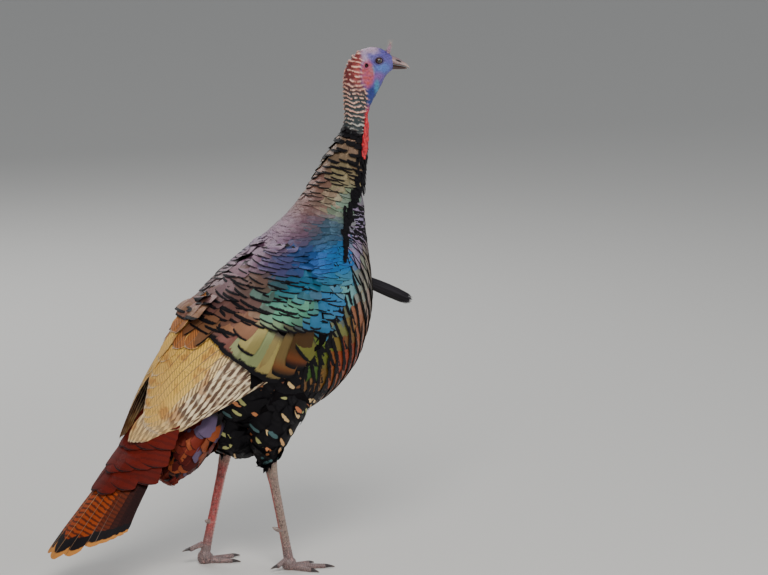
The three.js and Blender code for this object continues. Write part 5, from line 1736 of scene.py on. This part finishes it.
# ---- Beard ----
# A bundle of coarse black bristles hangs forwards from the breast.
BEARD = [(210, 0, 490, 7.0), (248, 0, 475, 10.0), (284, 0, 458, 11.0), (312, 0, 445, 10.5),
         (326, 0, 439, 8.0)]
BEARD_BRISTLES, BRISTLE_HALF = 320, 0.95
turn, share = draw.uniform(0, 2 * math.pi, BEARD_BRISTLES), np.sqrt(draw.random(BEARD_BRISTLES))
reach = np.where(draw.random(BEARD_BRISTLES) < 0.6, 4 - 1.1 * draw.random(BEARD_BRISTLES) ** 1.5,
                 draw.uniform(1.8, 4, BEARD_BRISTLES))
course = []
for k in range(4):
    x, y, z, radius = np.moveaxis(through(BEARD, reach * k / 3), -1, 0)
    radius = radius * share * (0.8 if k == 0 else 1) + draw.normal(0, 0.35, BEARD_BRISTLES) * (k > 1)
    ahead_run, up_run = 0.35 * radius * np.sin(turn), 0.93 * radius * np.sin(turn)
    course.append(np.stack([x + ahead_run, radius * np.cos(turn), z + up_run], -1))
course = np.stack(course, 1)
side = unit(np.cross(course[:, 3] - course[:, 0], np.stack([0 * turn, np.cos(turn), np.sin(turn)], -1)))
beard_bristles = Feathers()
spots = np.stack([0.03 + 0.94 * np.arange(BEARD_BRISTLES) / BEARD_BRISTLES, np.full(BEARD_BRISTLES, 0.5)], -1)
beard_tint = np.array((0.010, 0.008, 0.011)) * draw.uniform(0.6, 2.2, (BEARD_BRISTLES, 1))
beard_bristles.lay(course, side, side, BRISTLE_HALF, 0.0, beard_tint, (0.0, 0.5, 0.0), spots)
beard_piece = beard_bristles.piece("beard_bristles", bristle, hair, 0.6)
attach(beard_piece, "root")
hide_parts("beard")

# ---- Claws and spurs ----
# Short blunt claws, a little hooked, and a stub of a spur at the back of each shank.
CLAW_DARK, CLAW_PALE, SPUR_HORN = (0.050, 0.038, 0.040), (0.20, 0.155, 0.13), (0.27, 0.20, 0.18)
SPUR_PALE = (0.42, 0.34, 0.30)
SPUR_HEIGHT, SPUR_LENGTH = 0.33, 13  # the height as a share of the shank's length
HORN_RINGS, HORN_SIDES = 26, 24


def horn_tube(name, centres, deep, wide):
    """A tapering horn along centres, deep upwards and wide sideways."""
    spin = all_round(HORN_SIDES)
    along = unit(np.gradient(centres, axis=0))
    aside_way = unit(np.cross(along, (0, 0, 1)))
    up_way = np.cross(aside_way, along)
    ring = np.cos(spin)[None, :, None] * up_way[:, None] * deep[:, None, None]
    ring += np.sin(spin)[None, :, None] * aside_way[:, None] * wide[:, None, None]
    return tube(name, centres[:, None] + ring)


def horn_tone(dark, pale, paleness):
    """Colours of a horn, ring by ring, from dark to pale."""
    return over(np.tile(dark, (HORN_RINGS * HORN_SIDES, 1)), pale, np.repeat(paleness, HORN_SIDES))


for side, leg in LEGS.items():
    share = np.linspace(0, 1, HORN_RINGS)
    for name, toe in TOES.items():
        start, step = toe_line(leg, name, toe)
        reach = toe["length"] - 1.5 + (toe["claw"] + 1.5) * share
        centres = start + reach[:, None] * step
        centres[:, 2] += toe["tip"] * 0.95 - (toe["tip"] * 0.95 - 1.2) * share ** 2 - start[2]
        if name == "hind":
            low, high = leg["hind_rise"]
            centres[:, 2] = start[2] + (high - low) * np.minimum(reach / toe["length"], 1) - 3.5 * share ** 2
        radius = toe["tip"] * 0.92 - (toe["tip"] * 0.92 - 0.8) * share ** 1.1
        radius *= np.sqrt(1 - 0.9 * smooth(0.9, 1, share))
        centres[:, 2] = np.maximum(centres[:, 2], radius + 0.1)
        thing = horn_tube(f"claw_{name}_{side}_horn", centres, radius, radius * 0.82)
        tone = horn_tone(CLAW_DARK, CLAW_PALE, 0.6 * smooth(0.45, 1.0, share))
        painted_piece(thing, tone, horn, "claw_horn", f"claw_{name}_{side}")
    hock, foot = np.array(leg["hock"]), np.array(leg["foot"])
    root = foot + (hock - foot) * SPUR_HEIGHT
    share = np.linspace(-0.25, 1, HORN_RINGS)
    centres = root + np.stack([-4 - SPUR_LENGTH * share, -leg["side"] * 7 * share, 5 * share ** 2], -1)
    taper = np.sqrt(1 - 0.85 * smooth(0.75, 1, share))
    thing = horn_tube(f"spur_{side}_horn", centres, (5.4 - 3.4 * share) * taper, (4.7 - 3.0 * share) * taper)
    tone = horn_tone(SPUR_HORN, SPUR_PALE, 0.7 * smooth(0.4, 1.0, share))
    painted_piece(thing, tone, horn, "claw_horn", f"spur_{side}")
